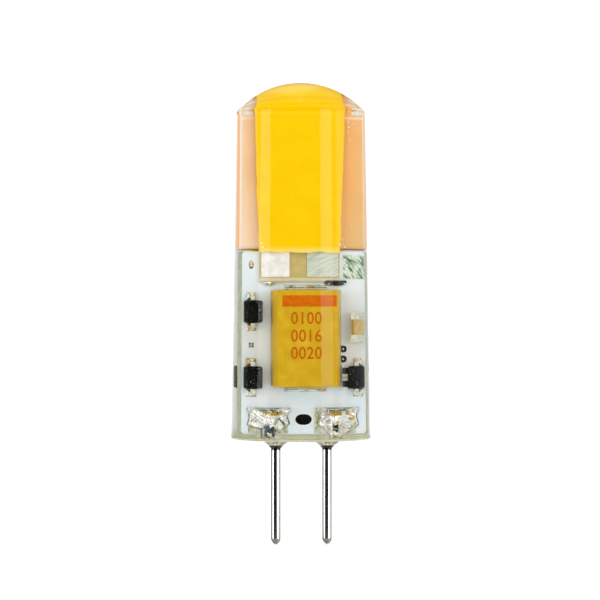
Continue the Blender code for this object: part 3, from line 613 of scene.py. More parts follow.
# Light strip. A tan flexible strip, folded over the core and run down on the board as a tail, with two
# tinned contact areas on the tail and a tinned pad beside it.
HEM = 0.5 * MM
flex = new_finish("tan_flex", 0.4)
weave = tones(flex, spots(flex, 0.6 * MM), [(0.3, tone(198, 178, 112)), (0.7, tone(214, 196, 134))])
tail_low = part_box("strip_substrate")[0].z
hem = mask(
    flex, share_along(flex, "Z", tail_low, tail_low + HEM),
    [(0.0, 0.1), (0.3, 0.75), (0.55, 0.6), (0.7, 0)],
)
colour_with(flex, blend_colours(flex, hem, weave, tone(232, 226, 200)))
grit(flex, 0.2 * MM, 0.004 * MM)
dress("strip_substrate", flex)


def tinned(name, dark, light, grain, stretch=(1, 1, 1), turn=0.0, metallic=0.25, roughness=0.4):
    """Dull tinned copper, cloudy, or streaked where its grain is stretched."""
    made = new_finish(name, roughness, metallic)
    colour_with(made, tones(made, spots(made, grain, 4.0, stretch, turn), [(0.36, dark), (0.62, light)]))
    grit(made, 0.12 * MM, 0.012 * MM, detail=4.0)
    return made


# Both contacts are the same tin; the left one is painted near white, a painted highlight where a flare falls
# on it
contact_left = tinned("contact_painted_flare", tone(232, 233, 228), tone(252, 252, 249), 0.5 * MM)
contact_right = tinned(
    "contact_grey", tone(184, 196, 178), tone(216, 223, 208), 0.09 * MM,
    stretch=(0.1, 1, 1), turn=math.radians(-30),
)
dress("strip_contact_left", contact_left)
dress("strip_contact_right", contact_right)

test_tin = new_finish("test_pad_tin", 0.4, metallic=0.2)
streaks = tones(
    test_tin,
    spots(test_tin, 0.22 * MM, 2.0, stretch=(0.3, 1, 1), turn=math.radians(52)),
    [(0.32, tone(44, 92, 66)), (0.4, tone(104, 150, 118)), (0.46, tone(160, 190, 160)),
     (0.53, tone(212, 224, 204)), (0.6, tone(248, 249, 242)), (0.68, tone(164, 172, 136))],
)
colour_with(test_tin, streaks)
relief(test_tin, spots(test_tin, 0.2 * MM, 3.0, stretch=(0.3, 1, 1), turn=math.radians(50)), 0.05 * MM)
dress("test_pad", test_tin)


# Phosphor gel. Thick yellow gel, cast on the strip before it is folded. Its long edges wander a little,
# its skin is uneven, and its wavy lower ends thin out over the contacts.
GEL_EDGE = 0.1 * MM
GEL_WANDER = 0.05 * MM
GEL_WAVE = 0.12 * MM
GEL_RUN = 0.22 * MM
GEL_FLARE = 0.3 * MM
GEL_BITE = 0.04 * MM
GEL_THIN_END = 0.5 * MM
STRAIGHT_STEPS = 30
FOLD_STEPS = 28
# Waves per metre of the noise that the edges wander by, and of that on the lower ends
WANDER_RATE = (700, 1100)
WAVE_RATE = (1300, 300)
gel_low, gel_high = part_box("phosphor_coating")
gel_low = gel_low - Vector((0, 0, GEL_RUN))
gel_radius = gel_high.y
gel_bend = gel_high.z - gel_radius
gel_centre = (gel_low.x + gel_high.x) / 2
gel_inner = -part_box("strip_contact_left")[0].y - GEL_BITE
gel_foot_half = (gel_high.x - gel_low.x) / 2 - GEL_FLARE

bpy.ops.object.select_all(action="DESELECT")
bpy.ops.mesh.primitive_grid_add(x_subdivisions=28, y_subdivisions=2, size=1, location=(0, 0, 0))
gel = bpy.context.object
gel.name = "phosphor_gel"
gel.scale = (2 * gel_foot_half, gel_radius - gel_inner, 1)
gel.location = (gel_centre, -(gel_radius + gel_inner) / 2, gel_low.z)
move_to_origin(gel)
bpy.ops.object.mode_set(mode="EDIT")
bpy.ops.mesh.select_all(action="SELECT")
rise = (gel_bend - gel_low.z) / STRAIGHT_STEPS
half_widths = [gel_foot_half + GEL_FLARE * i / STRAIGHT_STEPS for i in range(STRAIGHT_STEPS + 1)]
for i in range(STRAIGHT_STEPS):
    bpy.ops.mesh.extrude_region_move(TRANSFORM_OT_translate={"value": (0, 0, rise)})
    wider = half_widths[i + 1] / half_widths[i]
    bpy.ops.transform.resize(value=(wider, 1, 1), center_override=(gel_centre, 0, 0))
bpy.ops.mesh.spin(steps=FOLD_STEPS, angle=math.pi, center=(0, 0, gel_bend), axis=(1, 0, 0))
for i in reversed(range(STRAIGHT_STEPS)):
    bpy.ops.mesh.extrude_region_move(TRANSFORM_OT_translate={"value": (0, 0, -rise)})
    narrower = half_widths[i] / half_widths[i + 1]
    bpy.ops.transform.resize(value=(narrower, 1, 1), center_override=(gel_centre, 0, 0))
bpy.ops.object.mode_set(mode="OBJECT")

for vertex in gel.data.vertices:
    place = vertex.co
    height = min((place.z - gel_low.z) / (gel_bend - gel_low.z), 1)
    half = gel_foot_half + GEL_FLARE * height
    edge = abs(place.x - gel_centre) / half
    side = math.copysign(1, place.x - gel_centre)
    wander = noise.noise(Vector((side * 7, place.y * WANDER_RATE[0], place.z * WANDER_RATE[1])))
    place.x -= side * GEL_WANDER * (0.5 * (side > 0) + wander) * edge**4
    if place.z < gel_low.z + rise / 2:
        wave = noise.noise(Vector((place.x * WAVE_RATE[0], place.y * WAVE_RATE[1], 4)))
        place.z += GEL_WAVE * max(wave, -0.2)
soften_edges(gel, GEL_EDGE, 3, 50)

phosphor = new_finish("yellow_phosphor", 0.45)
yellow = tones(
    phosphor, spots(phosphor, 1.6 * MM, detail=3.0),
    [(0.3, tone(254, 202, 0)), (0.55, tone(254, 206, 1)), (0.75, tone(255, 210, 4))],
)
frost = mask(phosphor, spots(phosphor, 0.16 * MM, detail=3.0), [(0.5, 0), (0.72, 0.35)])
yellow = blend_colours(phosphor, frost, yellow, tone(255, 218, 40))
# Painted shade in a darker band on the bend, with a painted highlight in a lighter band below it
up_the_bend = share_along(phosphor, "Z", gel_bend, gel_high.z)
fold = mask(phosphor, up_the_bend, [(0.2, 0), (0.26, 1), (0.36, 1), (0.42, 0)])
yellow = blend_colours(phosphor, fold, yellow, tone(252, 198, 0))
crest = mask(phosphor, up_the_bend, [(0.0, 0), (0.1, 0.4), (0.14, 0.4), (0.2, 0)])
yellow = blend_colours(phosphor, crest, yellow, tone(255, 216, 40))
above_end = share_along(phosphor, "Z", gel_low.z, gel_low.z + GEL_THIN_END)
thin_end = mask(phosphor, above_end, [(0.0, 0.85), (0.25, 0.5), (1.0, 0)])
yellow = blend_colours(phosphor, thin_end, yellow, tone(255, 240, 150))
colour_with(phosphor, blend_colours(phosphor, faces_along(phosphor, "X"), yellow, tone(255, 212, 62)))
grit(phosphor, 0.3 * MM, 0.01 * MM)
gel.data.materials.append(phosphor)
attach(gel, "root")
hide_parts("phosphor_coating")


# Tail solder. A small smooth bead ties the tail's left contact to the board. The one at its right is
# lumpy, with bare copper in it and black patches of painted shadow, and is modelled here in place of its
# plain solid.
solder = new_finish("solder", 0.16, metallic=1.0)
mottle(solder, 0.4 * MM, (0.35, tone(206, 208, 196)), (0.65, tone(246, 246, 240)))
grit(solder, 0.2 * MM, 0.03 * MM, detail=4.0)
dress("strip_solder_left", solder)

LUMP_ROUGHNESS = 0.14 * MM
LUMP_RISE = 0.12 * MM
LUMP_WIDTH_SHARE = 0.55
LUMP_RATE = (3800, 4600)
bead_low, bead_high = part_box("strip_solder_right")
bpy.ops.object.select_all(action="DESELECT")
bpy.ops.mesh.primitive_ico_sphere_add(subdivisions=5, radius=1, location=(0, 0, 0))
lump = bpy.context.object
lump.name = "solder_with_painted_shadow"
lump.scale = bead_high - bead_low
lump.scale.x *= LUMP_WIDTH_SHARE
lump.location = ((bead_high.x + bead_low.x) / 2, bead_high.y, bead_high.z)
move_to_origin(lump)
for vertex in lump.data.vertices:
    place = vertex.co
    if place.y < bead_high.y - LUMP_ROUGHNESS / 2:
        place.y += LUMP_ROUGHNESS * noise.noise(place * LUMP_RATE[0])
        place.z += LUMP_ROUGHNESS * 0.6 * noise.noise(place * LUMP_RATE[1] + Vector((9, 0, 0)))
    place.y = min(place.y, bead_high.y)
    place.z = min(place.z, bead_high.z + LUMP_RISE)
lump.data.shade_smooth()
shadowed_solder = new_finish("solder_with_painted_shadow", 0.3, metallic=0.3)
# Painted shadow: black patches among the copper and the bright tin
shadow_copper_and_tin = tones(
    shadowed_solder, spots(shadowed_solder, 0.3 * MM, 3.0, stretch=(0.6, 1, 1)),
    [(0.48, tone(5, 6, 5)), (0.53, tone(20, 18, 12)), (0.56, tone(196, 150, 74)), (0.6, tone(244, 238, 222)),
     (0.68, tone(252, 250, 244))],
)
colour_with(shadowed_solder, shadow_copper_and_tin)
grit(shadowed_solder, 0.12 * MM, 0.03 * MM, detail=4.0)
lump.data.materials.append(shadowed_solder)
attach(lump, "root")
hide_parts("strip_solder_right")


# Contact pins. Drawn and plated wire, 0.75 mm thick, with tapered points. Each is turned from a circle,
# so that its polish shows long clean reflections. Its top is painted dark where it meets the silicone's
# skirt, painted shade for the dark ring seen there.
PIN_SIDES = 64
PIN_POINT = 0.5 * MM
PIN_TAPER = 1.5
DARK_RING_FOOT = -0.88 * MM
DARK_RING_TOP = -0.3 * MM
pin_boxes = {side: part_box(f"contact_pin_{side}") for side in ("left", "right")}
pin_radius = (pin_boxes["left"][1].x - pin_boxes["left"][0].x) / 2


def turned_piece(name, profile, x, y, sides):
    """Solid of revolution on an upright axis: a circle that is extruded and widened along a profile of
    radius and height."""
    bpy.ops.object.select_all(action="DESELECT")
    bpy.ops.mesh.primitive_circle_add(
        vertices=sides, radius=profile[0].x, location=(x, y, profile[0].y), fill_type="TRIFAN"
    )
    piece = move_to_origin(bpy.context.object)
    piece.name = name
    bpy.ops.object.mode_set(mode="EDIT")
    bpy.ops.mesh.select_mode(type="EDGE")
    bpy.ops.mesh.select_all(action="SELECT")
    bpy.ops.mesh.region_to_loop()
    for here, there in zip(profile, profile[1:]):
        bpy.ops.mesh.extrude_edges_move(TRANSFORM_OT_translate={"value": (0, 0, there.y - here.y)})
        share = there.x / here.x
        bpy.ops.transform.resize(value=(share, share, 1), center_override=(x, y, there.y))
    bpy.ops.mesh.edge_face_add()
    bpy.ops.mesh.poke()
    bpy.ops.mesh.select_mode(type="VERT")
    bpy.ops.mesh.select_all(action="SELECT")
    bpy.ops.mesh.normals_make_consistent(inside=False)
    bpy.ops.object.mode_set(mode="OBJECT")
    piece.data.shade_smooth()
    return piece


def arc_points(centre, reach, start, end, steps):
    """Points on an arc in radius and height, both ends included. Reach is its size across and up."""
    turns = [start + (end - start) * i / steps for i in range(steps + 1)]
    return [Vector((centre.x + reach[0] * math.cos(t), centre.y + reach[1] * math.sin(t))) for t in turns]


pin_metal = new_finish("plated_pin", 0.07, metallic=1.0)
plating = tones(
    pin_metal, spots(pin_metal, 0.5 * MM), [(0.3, tone(238, 236, 232)), (0.7, tone(248, 247, 244))]
)
# Painted shade: a dark ring round the pin's top, where it enters the silicone's skirt
painted_dark_ring = mask(
    pin_metal, share_along(pin_metal, "Z", DARK_RING_FOOT, DARK_RING_TOP),
    [(0.0, 0), (0.15, 0.95), (0.7, 0.95), (1.0, 0.2)],
)
plating = blend_colours(pin_metal, painted_dark_ring, plating, tone(16, 14, 10))
pin_end = pin_boxes["left"][0].z
up_the_point = share_along(pin_metal, "Z", pin_end, pin_end + PIN_POINT)
tip = mask(pin_metal, up_the_point, [(0.0, 0.85), (0.9, 0.6), (1.0, 0)])
colour_with(pin_metal, blend_colours(pin_metal, tip, plating, tone(92, 78, 68)))
relief(pin_metal, spots(pin_metal, 0.3 * MM, stretch=(1, 1, 0.06)), 0.002 * MM)
for side, (low, high) in pin_boxes.items():
    x, y = (low.x + high.x) / 2, (low.y + high.y) / 2
    point = arc_points(Vector((0, low.z + PIN_POINT)), (pin_radius, PIN_POINT), -math.pi / 2, 0, 14)[1:]
    point = [Vector((pin_radius * (place.x / pin_radius) ** PIN_TAPER, place.y)) for place in point]
    pin = turned_piece(f"pin_{side}", point + [Vector((pin_radius, high.z))], x, y, PIN_SIDES)
    pin.data.set_sharp_from_angle(angle=math.radians(50))
    pin.data.materials.append(pin_metal)
    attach(pin, "root")
    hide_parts(f"contact_pin_{side}")


# Pin solder. Hand-made joints. Each wets the upper part of its pad from side to side, stands in peaks at
# the pad's corners, swells over the pin's top in bright folds, and narrows to a neck down the pin.
JOINT_FOOT = 0.12 * MM
JOINT_FILM = 0.07 * MM
JOINT_FOLDS = 0.27 * MM
FOLD_GRAIN = 1.15 * MM
PEAK = 0.22 * MM
PEAK_REACH = 0.5 * MM
NECK = 0.4 * MM
WAIST = 0.14 * MM
WAIST_FOOT = 1.1 * MM
# The swell over the pin: half the width of its ridge, and how fast it falls off beside it
SWELL_RIDGE = 0.25 * MM
SWELL_FALL = 0.55 * MM
PIN_TOP_BARE = 0.03 * MM
# Width of the thin film at a joint's sides and at its top, and the least that it covers
FILM_SIDE = 0.14 * MM
FILM_TOP = 0.1 * MM
FILM_LEAST = 0.01 * MM
# Shares of the cloudy noise at which a dark line of painted shade is drawn, as in a crease
SHADE_LINE_SHARES = (0.408, 0.508, 0.593)
pad_low, pad_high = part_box("pin_pad_left")
# Left and right edge of each joint, and for either side the heights between which it narrows to the neck
JOINTS = {
    "left": ((-3.32 * MM, 0.8 * MM, 1.15 * MM), (-0.62 * MM, 0.25 * MM, 1.35 * MM)),
    "right": ((0.87 * MM, 0.35 * MM, 1.3 * MM), (3.45 * MM, 0.2 * MM, 1.2 * MM)),
}


def smooth_step(value, start, end):
    """Share that rises smoothly from 0 at start to 1 at end."""
    share = min(max((value - start) / (end - start), 0), 1)
    return share * share * (3 - 2 * share)


def grid_slab(name, left, right, face, low, high, across, up, thickness):
    """Closed slab that lies on a face which looks to the front, with a fine grid on it."""
    bpy.ops.object.select_all(action="DESELECT")
    bpy.ops.mesh.primitive_grid_add(
        x_subdivisions=across, y_subdivisions=up, size=1, rotation=(math.pi / 2, 0, 0)
    )
    slab = bpy.context.object
    slab.name = name
    slab.scale = (right - left, high - low, 1)
    slab.location = ((left + right) / 2, face, (low + high) / 2)
    move_to_origin(slab)
    bpy.ops.object.mode_set(mode="EDIT")
    bpy.ops.mesh.select_all(action="SELECT")
    bpy.ops.mesh.extrude_region_move(TRANSFORM_OT_translate={"value": (0, -thickness, 0)})
    bpy.ops.object.mode_set(mode="OBJECT")
    return slab


def crumple(x, z, grain, seed):
    """Noise with sharp ridges, 0.5 high, as on solder that froze while it was pulled about."""
    first = noise.noise(Vector((x / grain, z / grain, seed)))
    second = noise.noise(Vector((2.1 * x / grain, 2.1 * z / grain, seed + 5)))
    return 0.5 - 2.0 * abs(first) - 0.4 * abs(second)


joint_solder = new_finish("joint_solder", 0.1, metallic=0.9)
bright = tones(
    joint_solder, spots(joint_solder, 0.6 * MM, 3.0),
    [(0.3, tone(226, 232, 222)), (0.42, tone(250, 251, 248)), (0.75, tone(255, 255, 254))],
)
streaks = spots(joint_solder, 0.11 * MM, 2.0, stretch=(1, 1, 0.16), turn=math.radians(24))
relief(joint_solder, streaks, 0.005 * MM)
streaks = mask(joint_solder, streaks, [(0.6, 0), (0.7, 0.35)])
bright = blend_colours(joint_solder, streaks, bright, tone(150, 160, 140))
# Amber flux runs along the upper part of each joint, under a greyish rim
for low, high in (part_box("pin_pad_left"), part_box("pin_pad_right")):
    left, right, top = low.x, high.x, high.z
    amber = patch_within(
        joint_solder, left + 0.5 * MM, right - 0.1 * MM, top - 0.62 * MM, top - 0.22 * MM, 0.6 * MM, 0.42
    )
    bright = blend_colours(joint_solder, amber, bright, tone(190, 156, 64))
    rim = patch_within(
        joint_solder, left + 0.3 * MM, right - 0.2 * MM, top - 0.3 * MM, top + 0.02 * MM, 0.5 * MM, 0.4
    )
    bright = blend_colours(joint_solder, rim, bright, tone(126, 134, 116))
# Painted shade: thin dark lines, as in the creases between the folds
painted_crease_shade = mask(
    joint_solder, spots(joint_solder, 0.75 * MM, 1.5),
    [(share + off, value) for share in SHADE_LINE_SHARES for off, value in ((-0.008, 0), (0, 0.85), (0.008, 0))],
)
bright = blend_colours(joint_solder, painted_crease_shade, bright, tone(44, 54, 38))
off_the_pad = share_along(joint_solder, "Y", pad_low.y, pad_low.y - JOINT_FILM)
thin = mask(joint_solder, off_the_pad, [(0.3, 0.9), (0.6, 0.75), (0.85, 0)])
bright = blend_colours(joint_solder, thin, bright, tone(62, 66, 40))
# A blue-grey patch on the left joint, and a dark drop on the right one
blue_grey_patch = patch_within(joint_solder, -2.5 * MM, -1.6 * MM, 0.1 * MM, 1.3 * MM, 0.35 * MM, 0.4)
bright = blend_colours(joint_solder, blue_grey_patch, bright, tone(66, 80, 98))
drop = patch_within(joint_solder, 1.8 * MM, 2.3 * MM, 0.2 * MM, 1.4 * MM, 0.3 * MM, 0.42)
colour_with(joint_solder, blend_colours(joint_solder, drop, bright, tone(24, 52, 44)))

for seed, (side, edges) in enumerate(JOINTS.items()):
    low, high = pin_boxes[side]
    pin_x, pin_front = (low.x + high.x) / 2, low.y
    (left, _, _), (right, _, _) = edges
    swell = pad_low.y - pin_front + JOINT_FILM
    name = f"solder_joint_{side}"
    joint = grid_slab(name, left, right, pad_low.y, JOINT_FOOT, pad_high.z, 96, 80, JOINT_FILM)
    for vertex in joint.data.vertices:
        place = vertex.co
        is_front = place.y < pad_low.y - JOINT_FILM / 2
        across = (place.x - left) / (right - left)
        # Each side runs to the pad's edge above and to the neck below
        wide = [smooth_step(place.z, start, end) for _, start, end in edges]
        at_left = pin_x - NECK + (left - pin_x + NECK) * wide[0]
        at_right = pin_x + NECK + (right - pin_x - NECK) * wide[1]
        waist = WAIST * max(math.sin(math.pi * smooth_step(place.z, WAIST_FOOT, pad_high.z)), 0)
        at_left, at_right = at_left + waist * wide[0], at_right - waist * wide[1]
        place.x = at_left + (at_right - at_left) * across
        if not is_front:
            continue
        to_edge = min(place.x - at_left, at_right - place.x)
        to_top = pad_high.z - place.z
        mound = math.exp(-(max(abs(place.x - pin_x) - SWELL_RIDGE, 0) / SWELL_FALL) ** 1.3)
        mound *= 1 - smooth_step(place.z, high.z - PIN_TOP_BARE, pad_high.z)
        peak = PEAK * max(1 - math.hypot(to_edge, to_top) / PEAK_REACH, 0)
        film = min(smooth_step(to_edge, 0, FILM_SIDE), smooth_step(to_top, 0, FILM_TOP))
        folds = JOINT_FOLDS * crumple(place.x, place.z, FOLD_GRAIN, 3 + 8 * seed) * (0.55 + 0.45 * mound)
        place.y -= (swell * mound + folds * min(film * 1.5, 1)) * film + peak - 0.85 * JOINT_FILM * (1 - film)
        place.y = min(place.y, pad_low.y - FILM_LEAST)
    outward(joint)
    joint.data.shade_smooth()
    joint.data.materials.append(joint_solder)
    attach(joint, "root")
    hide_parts(f"pin_solder_{side}")


# Tantalum capacitor. A moulded block of gold-coloured resin with drafted sides and a flat along its left
# front edge, an orange polarity bar, and its plain ratings in thin ink. Its terminals fold in under it.
FLAT = 0.28 * MM
BAR_DROP = 0.42 * MM
BAR_HEIGHT = 0.86 * MM
BAR_GAP = 0.03 * MM
BAR_WANDER = 0.02 * MM
BAR_RATE = 2500
BLOCK_SOFT_EDGE = 0.07 * MM
DRAFT_SHARE = 0.015
RATINGS = ("0100", "0016", "0020")
RATING_SIZE = 1.32 * MM
RATING_STROKE = 0.016 * MM
RATING_SPACING = 1.06
RATING_NARROWING = 0.78
RATING_WELD = 0.0005 * MM
RATING_LEFT = -0.93 * MM
RATING_FEET = (8.98 * MM, 7.63 * MM, 6.3 * MM)
low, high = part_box("tantalum_body")
draft = DRAFT_SHARE * (high.y - low.y)
block = box_piece("tantalum_block", low, high)
bpy.ops.object.mode_set(mode="EDIT")
bpy.ops.mesh.select_all(action="SELECT")
bpy.ops.mesh.bisect(plane_co=(low + high) / 2, plane_no=(0, 1, 0))
bpy.ops.object.mode_set(mode="OBJECT")
for vertex in block.data.vertices:
    if min(vertex.co.y - low.y, high.y - vertex.co.y) < draft:
        vertex.co.x -= math.copysign(draft, vertex.co.x - (low.x + high.x) / 2)
        vertex.co.z -= math.copysign(draft, vertex.co.z - (low.z + high.z) / 2)
bpy.ops.object.mode_set(mode="EDIT")
bpy.ops.mesh.select_mode(type="EDGE")
bpy.ops.mesh.select_all(action="DESELECT")
bpy.ops.object.mode_set(mode="OBJECT")
for edge in block.data.edges:
    ends = [block.data.vertices[i].co for i in edge.vertices]
    if all(end.y < low.y + draft and end.x < low.x + 2 * draft for end in ends):
        edge.select = True
bpy.ops.object.mode_set(mode="EDIT")
bpy.ops.mesh.bevel(offset=FLAT, segments=1)
bpy.ops.object.mode_set(mode="OBJECT")
soften_edges(block, BLOCK_SOFT_EDGE, 3, 25)
block.data.set_sharp_from_angle(angle=math.radians(30))

resin = new_finish("tantalum_resin", 0.35)
gold = tones(
    resin, spots(resin, 0.9 * MM, detail=4.0),
    [(0.3, tone(202, 160, 22)), (0.55, tone(211, 169, 30)), (0.75, tone(220, 180, 44))],
)
specks = mask(resin, spots(resin, 0.07 * MM, detail=1.0), [(0.7, 0), (0.76, 0.5)])
colour_with(resin, blend_colours(resin, specks, gold, tone(244, 214, 110)))
grit(resin, 0.1 * MM, 0.006 * MM)
block.data.materials.append(resin)
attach(block, "root")
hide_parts("tantalum_body")

front_left, front_right = low.x + draft + FLAT, high.x - draft - BAR_GAP
bar_top = high.z - BAR_DROP
bar = grid_slab("polarity_bar", front_left, front_right, low.y, bar_top - BAR_HEIGHT, bar_top, 48, 6, INK)
for vertex in bar.data.vertices:
    from_middle = vertex.co.z - (bar_top - BAR_HEIGHT / 2)
    wander = noise.noise(Vector((vertex.co.x * BAR_RATE, 0, math.copysign(3, from_middle))))
    vertex.co.z += BAR_WANDER * wander
outward(bar)
orange = new_finish("orange_ink", 0.4)
ink = tones(
    orange, spots(orange, 0.3 * MM, 3.0, (0.4, 1, 1)), [(0.3, tone(204, 92, 0)), (0.7, tone(218, 112, 10))]
)
worn = mask(orange, spots(orange, 0.14 * MM, detail=3.0), [(0.64, 0), (0.7, 0.7)])
colour_with(orange, blend_colours(orange, worn, ink, tone(222, 160, 40)))
grit(orange, 0.06 * MM, 0.004 * MM)
bar.data.materials.append(orange)
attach(bar, "root")

rows = []
for rating, foot in zip(RATINGS, RATING_FEET):
    bpy.ops.object.select_all(action="DESELECT")
    bpy.ops.object.text_add(rotation=(math.pi / 2, 0, 0))
    row = bpy.context.object
    row.data.body = rating
    row.data.size = RATING_SIZE
    row.data.space_character = RATING_SPACING
    row.data.extrude = INK / 2
    row.data.offset = RATING_STROKE
    row.data.resolution_u = 4
    row.scale = (RATING_NARROWING, 1, 1)
    bpy.ops.object.convert(target="MESH")
    row = bpy.context.object
    row.location = (RATING_LEFT, low.y - INK / 2, foot)
    rows.append(move_to_origin(row))
ratings = join("ratings", rows)
bpy.ops.object.mode_set(mode="EDIT")
bpy.ops.mesh.select_mode(type="VERT")
bpy.ops.mesh.select_all(action="SELECT")
bpy.ops.mesh.remove_doubles(threshold=RATING_WELD)
bpy.ops.object.mode_set(mode="OBJECT")
outward(ratings)
rust = new_finish("rating_ink", 0.4)
ink = tones(rust, spots(rust, 0.2 * MM, 3.0), [(0.3, tone(190, 88, 10)), (0.7, tone(204, 106, 20))])
worn = mask(rust, spots(rust, 0.1 * MM, detail=3.0), [(0.66, 0), (0.72, 0.7)])
colour_with(rust, blend_colours(rust, worn, ink, tone(214, 162, 40)))
grit(rust, 0.06 * MM, 0.003 * MM)
ratings.data.materials.append(rust)
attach(ratings, "root")

terminal_tin = tinned(
    "terminal_tin", tone(168, 172, 144), tone(214, 214, 190), 0.06 * MM, stretch=(1, 1, 0.2), metallic=0.4
)
dress("tantalum_anode", terminal_tin)
dress("tantalum_cathode", terminal_tin)


# Small parts. Diodes in black resin, resistors, a ceramic capacitor and, behind the board, the driver.
# They stand on tinned pads, and solder climbs their leads and caps.
black = new_finish("black_resin", 0.45)
coal = tones(black, spots(black, 0.3 * MM), [(0.3, tone(3, 6, 3)), (0.7, tone(11, 14, 10))])
dust = mask(black, spots(black, 0.1 * MM, detail=1.0), [(0.68, 0), (0.71, 0.9)])
colour_with(black, blend_colours(black, dust, coal, tone(150, 148, 126)))
grit(black, 0.06 * MM, 0.006 * MM)
part_tin = tinned(
    "part_tin", tone(190, 196, 176), tone(246, 247, 240), 0.24 * MM, metallic=0.5, roughness=0.25
)
chip_tin = tinned("chip_tin", tone(206, 213, 196), tone(238, 241, 232), 0.3 * MM, metallic=0.3)
pad_tin = tinned("pad_tin", tone(160, 162, 110), tone(232, 234, 214), 0.35 * MM, metallic=0.3)
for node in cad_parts:
    if node.endswith("_body") and node.startswith(("diode", "resistor", "sense", "driver")):
        dress(node, black)
    if node.endswith("_lead") or node.startswith("driver_lead"):
        dress(node, part_tin)
    if node.startswith(("resistor", "sense", "ceramic")) and node.endswith("_cap"):
        dress(node, chip_tin)
    if node.startswith("pin_pad"):
        dress(node, pad_tin)

ceramic = new_finish("chip_ceramic", 0.4)
biscuit = tones(ceramic, spots(ceramic, 0.3 * MM), [(0.3, tone(196, 170, 112)), (0.7, tone(216, 194, 140))])
chip_low, chip_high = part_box("ceramic_capacitor_body")
brown_side = mask(ceramic, share_along(ceramic, "X", chip_low.x, chip_high.x), [(0.16, 0.9), (0.24, 0)])
colour_with(ceramic, blend_colours(ceramic, brown_side, biscuit, tone(178, 136, 44)))
grit(ceramic, 0.06 * MM, 0.003 * MM)
dress("ceramic_capacitor_body", ceramic)

# Width and length of the solder at a diode's lead, and length of that at the tantalum's terminals
DIODE_SOLDER = (0.72 * MM, 0.62 * MM)
TERMINAL_SOLDER = 0.24 * MM
SOLDER_HEIGHT = 0.2 * MM
SOLDER_FOOT = 0.03 * MM
SOLDER_GRAIN = 0.3 * MM
bare_copper = new_finish("solder_on_copper", 0.22, metallic=0.55)
silver = tones(
    bare_copper, spots(bare_copper, 0.2 * MM, 4.0),
    [(0.36, tone(120, 132, 112)), (0.46, tone(220, 226, 212)), (0.7, tone(250, 251, 246))],
)
copper = mask(bare_copper, spots(bare_copper, 0.3 * MM, 2.0, (1, 1, 0.4)), [(0.54, 0), (0.58, 0.9)])
colour_with(bare_copper, blend_colours(bare_copper, copper, silver, tone(204, 158, 70)))
grit(bare_copper, 0.08 * MM, 0.02 * MM, detail=3.0)


def solder_patch(name, left, right, low, high, side, seed):
    """Small uneven mound of solder on the board's front (side 1) or back (side -1)."""
    patch = grid_slab(name, left, right, board_front, low, high, 18, 16, SOLDER_FOOT)
    for vertex in patch.data.vertices:
        place = vertex.co
        if place.y > board_front - SOLDER_FOOT / 2:
            continue
        inside = min(place.x - left, right - place.x, place.z - low, high - place.z)
        body = smooth_step(inside, 0, 0.3 * min(right - left, high - low))
        place.y -= SOLDER_HEIGHT * body * (0.65 + 0.35 * crumple(place.x, place.z, SOLDER_GRAIN, seed))
    if side < 0:
        for vertex in patch.data.vertices:
            vertex.co.y *= -1
    return patch


patches = []
for number in range(1, 5):
    low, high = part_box(f"diode_{number}_body")
    x, half = (low.x + high.x) / 2, DIODE_SOLDER[0] / 2
    side = 1 if high.y < 0 else -1
    for start, end in ((low.z - DIODE_SOLDER[1], low.z), (high.z, high.z + DIODE_SOLDER[1])):
        patches.append(solder_patch("patch", x - half, x + half, start, end, side, number + end * 900))
for node, outside in (("tantalum_cathode", -1), ("tantalum_anode", 1)):
    low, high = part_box(node)
    start = low.z - TERMINAL_SOLDER if outside < 0 else high.z
    patches.append(solder_patch("patch", low.x, high.x, start, start + TERMINAL_SOLDER, 1, 30 + outside))
small_solder = join("small_solder", patches)
outward(small_solder)
small_solder.data.shade_smooth()
small_solder.data.materials.append(bare_copper)
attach(small_solder, "root")


# Silicone capsule. Clear soft silicone, moulded round everything in one shot: a drafted round wall, a
# shallow dome, a flat underside, and a skirt that climbs down each pin to a thin lip.
DOME_RADIUS = 6.8 * MM
SHOULDER_FILLET = 0.5 * MM
BASE_EDGE = 0.18 * MM
WALL_DRAFT = math.radians(1.0)
SKIRT_RADIUS = 1.9 * MM
SKIRT_LIP = 0.04 * MM
SKIRT_BOW = 2.3
CAPSULE_SIDES = 192
WALL_STEPS = 24
UNDERSIDE_STEPS = 72
SILICONE_INDEX = 1.41
SKIN_GLOSS = (0.45, 0.45, 0.45, 1.0)
GATHERED_LIGHT_FOOT = 0.1 * MM
GATHERED_LIGHT_TOP = 0.75 * MM
FOOT_START = 0.002 * MM
FOOT_HEIGHT = 0.24 * MM
FOOT_CLEARNESS = 0.45
low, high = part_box("silicone_capsule")
base_radius, crown, skirt_drop = high.x, high.z, -low.z

dome_centre = Vector((0, crown - DOME_RADIUS))
upward = Vector((-math.sin(WALL_DRAFT), math.cos(WALL_DRAFT)))
wall_foot = Vector((base_radius - SHOULDER_FILLET / math.cos(WALL_DRAFT), 0))
from_dome = wall_foot - dome_centre
half = from_dome.dot(upward)
reach = math.sqrt(half**2 - from_dome.length_squared + (DOME_RADIUS - SHOULDER_FILLET) ** 2) - half
shoulder = wall_foot + upward * reach
meeting = math.atan2(shoulder.y - dome_centre.y, shoulder.x)
edge_x = base_radius - (BASE_EDGE + BASE_EDGE * math.sin(WALL_DRAFT)) / math.cos(WALL_DRAFT)
edge_arc = arc_points(Vector((edge_x, BASE_EDGE)), (BASE_EDGE, BASE_EDGE), -math.pi / 2, WALL_DRAFT, 8)
shoulder_arc = arc_points(shoulder, (SHOULDER_FILLET, SHOULDER_FILLET), WALL_DRAFT, meeting, 10)
dome_arc = arc_points(dome_centre, (DOME_RADIUS, DOME_RADIUS), meeting, math.pi / 2, 40)[1:-1]
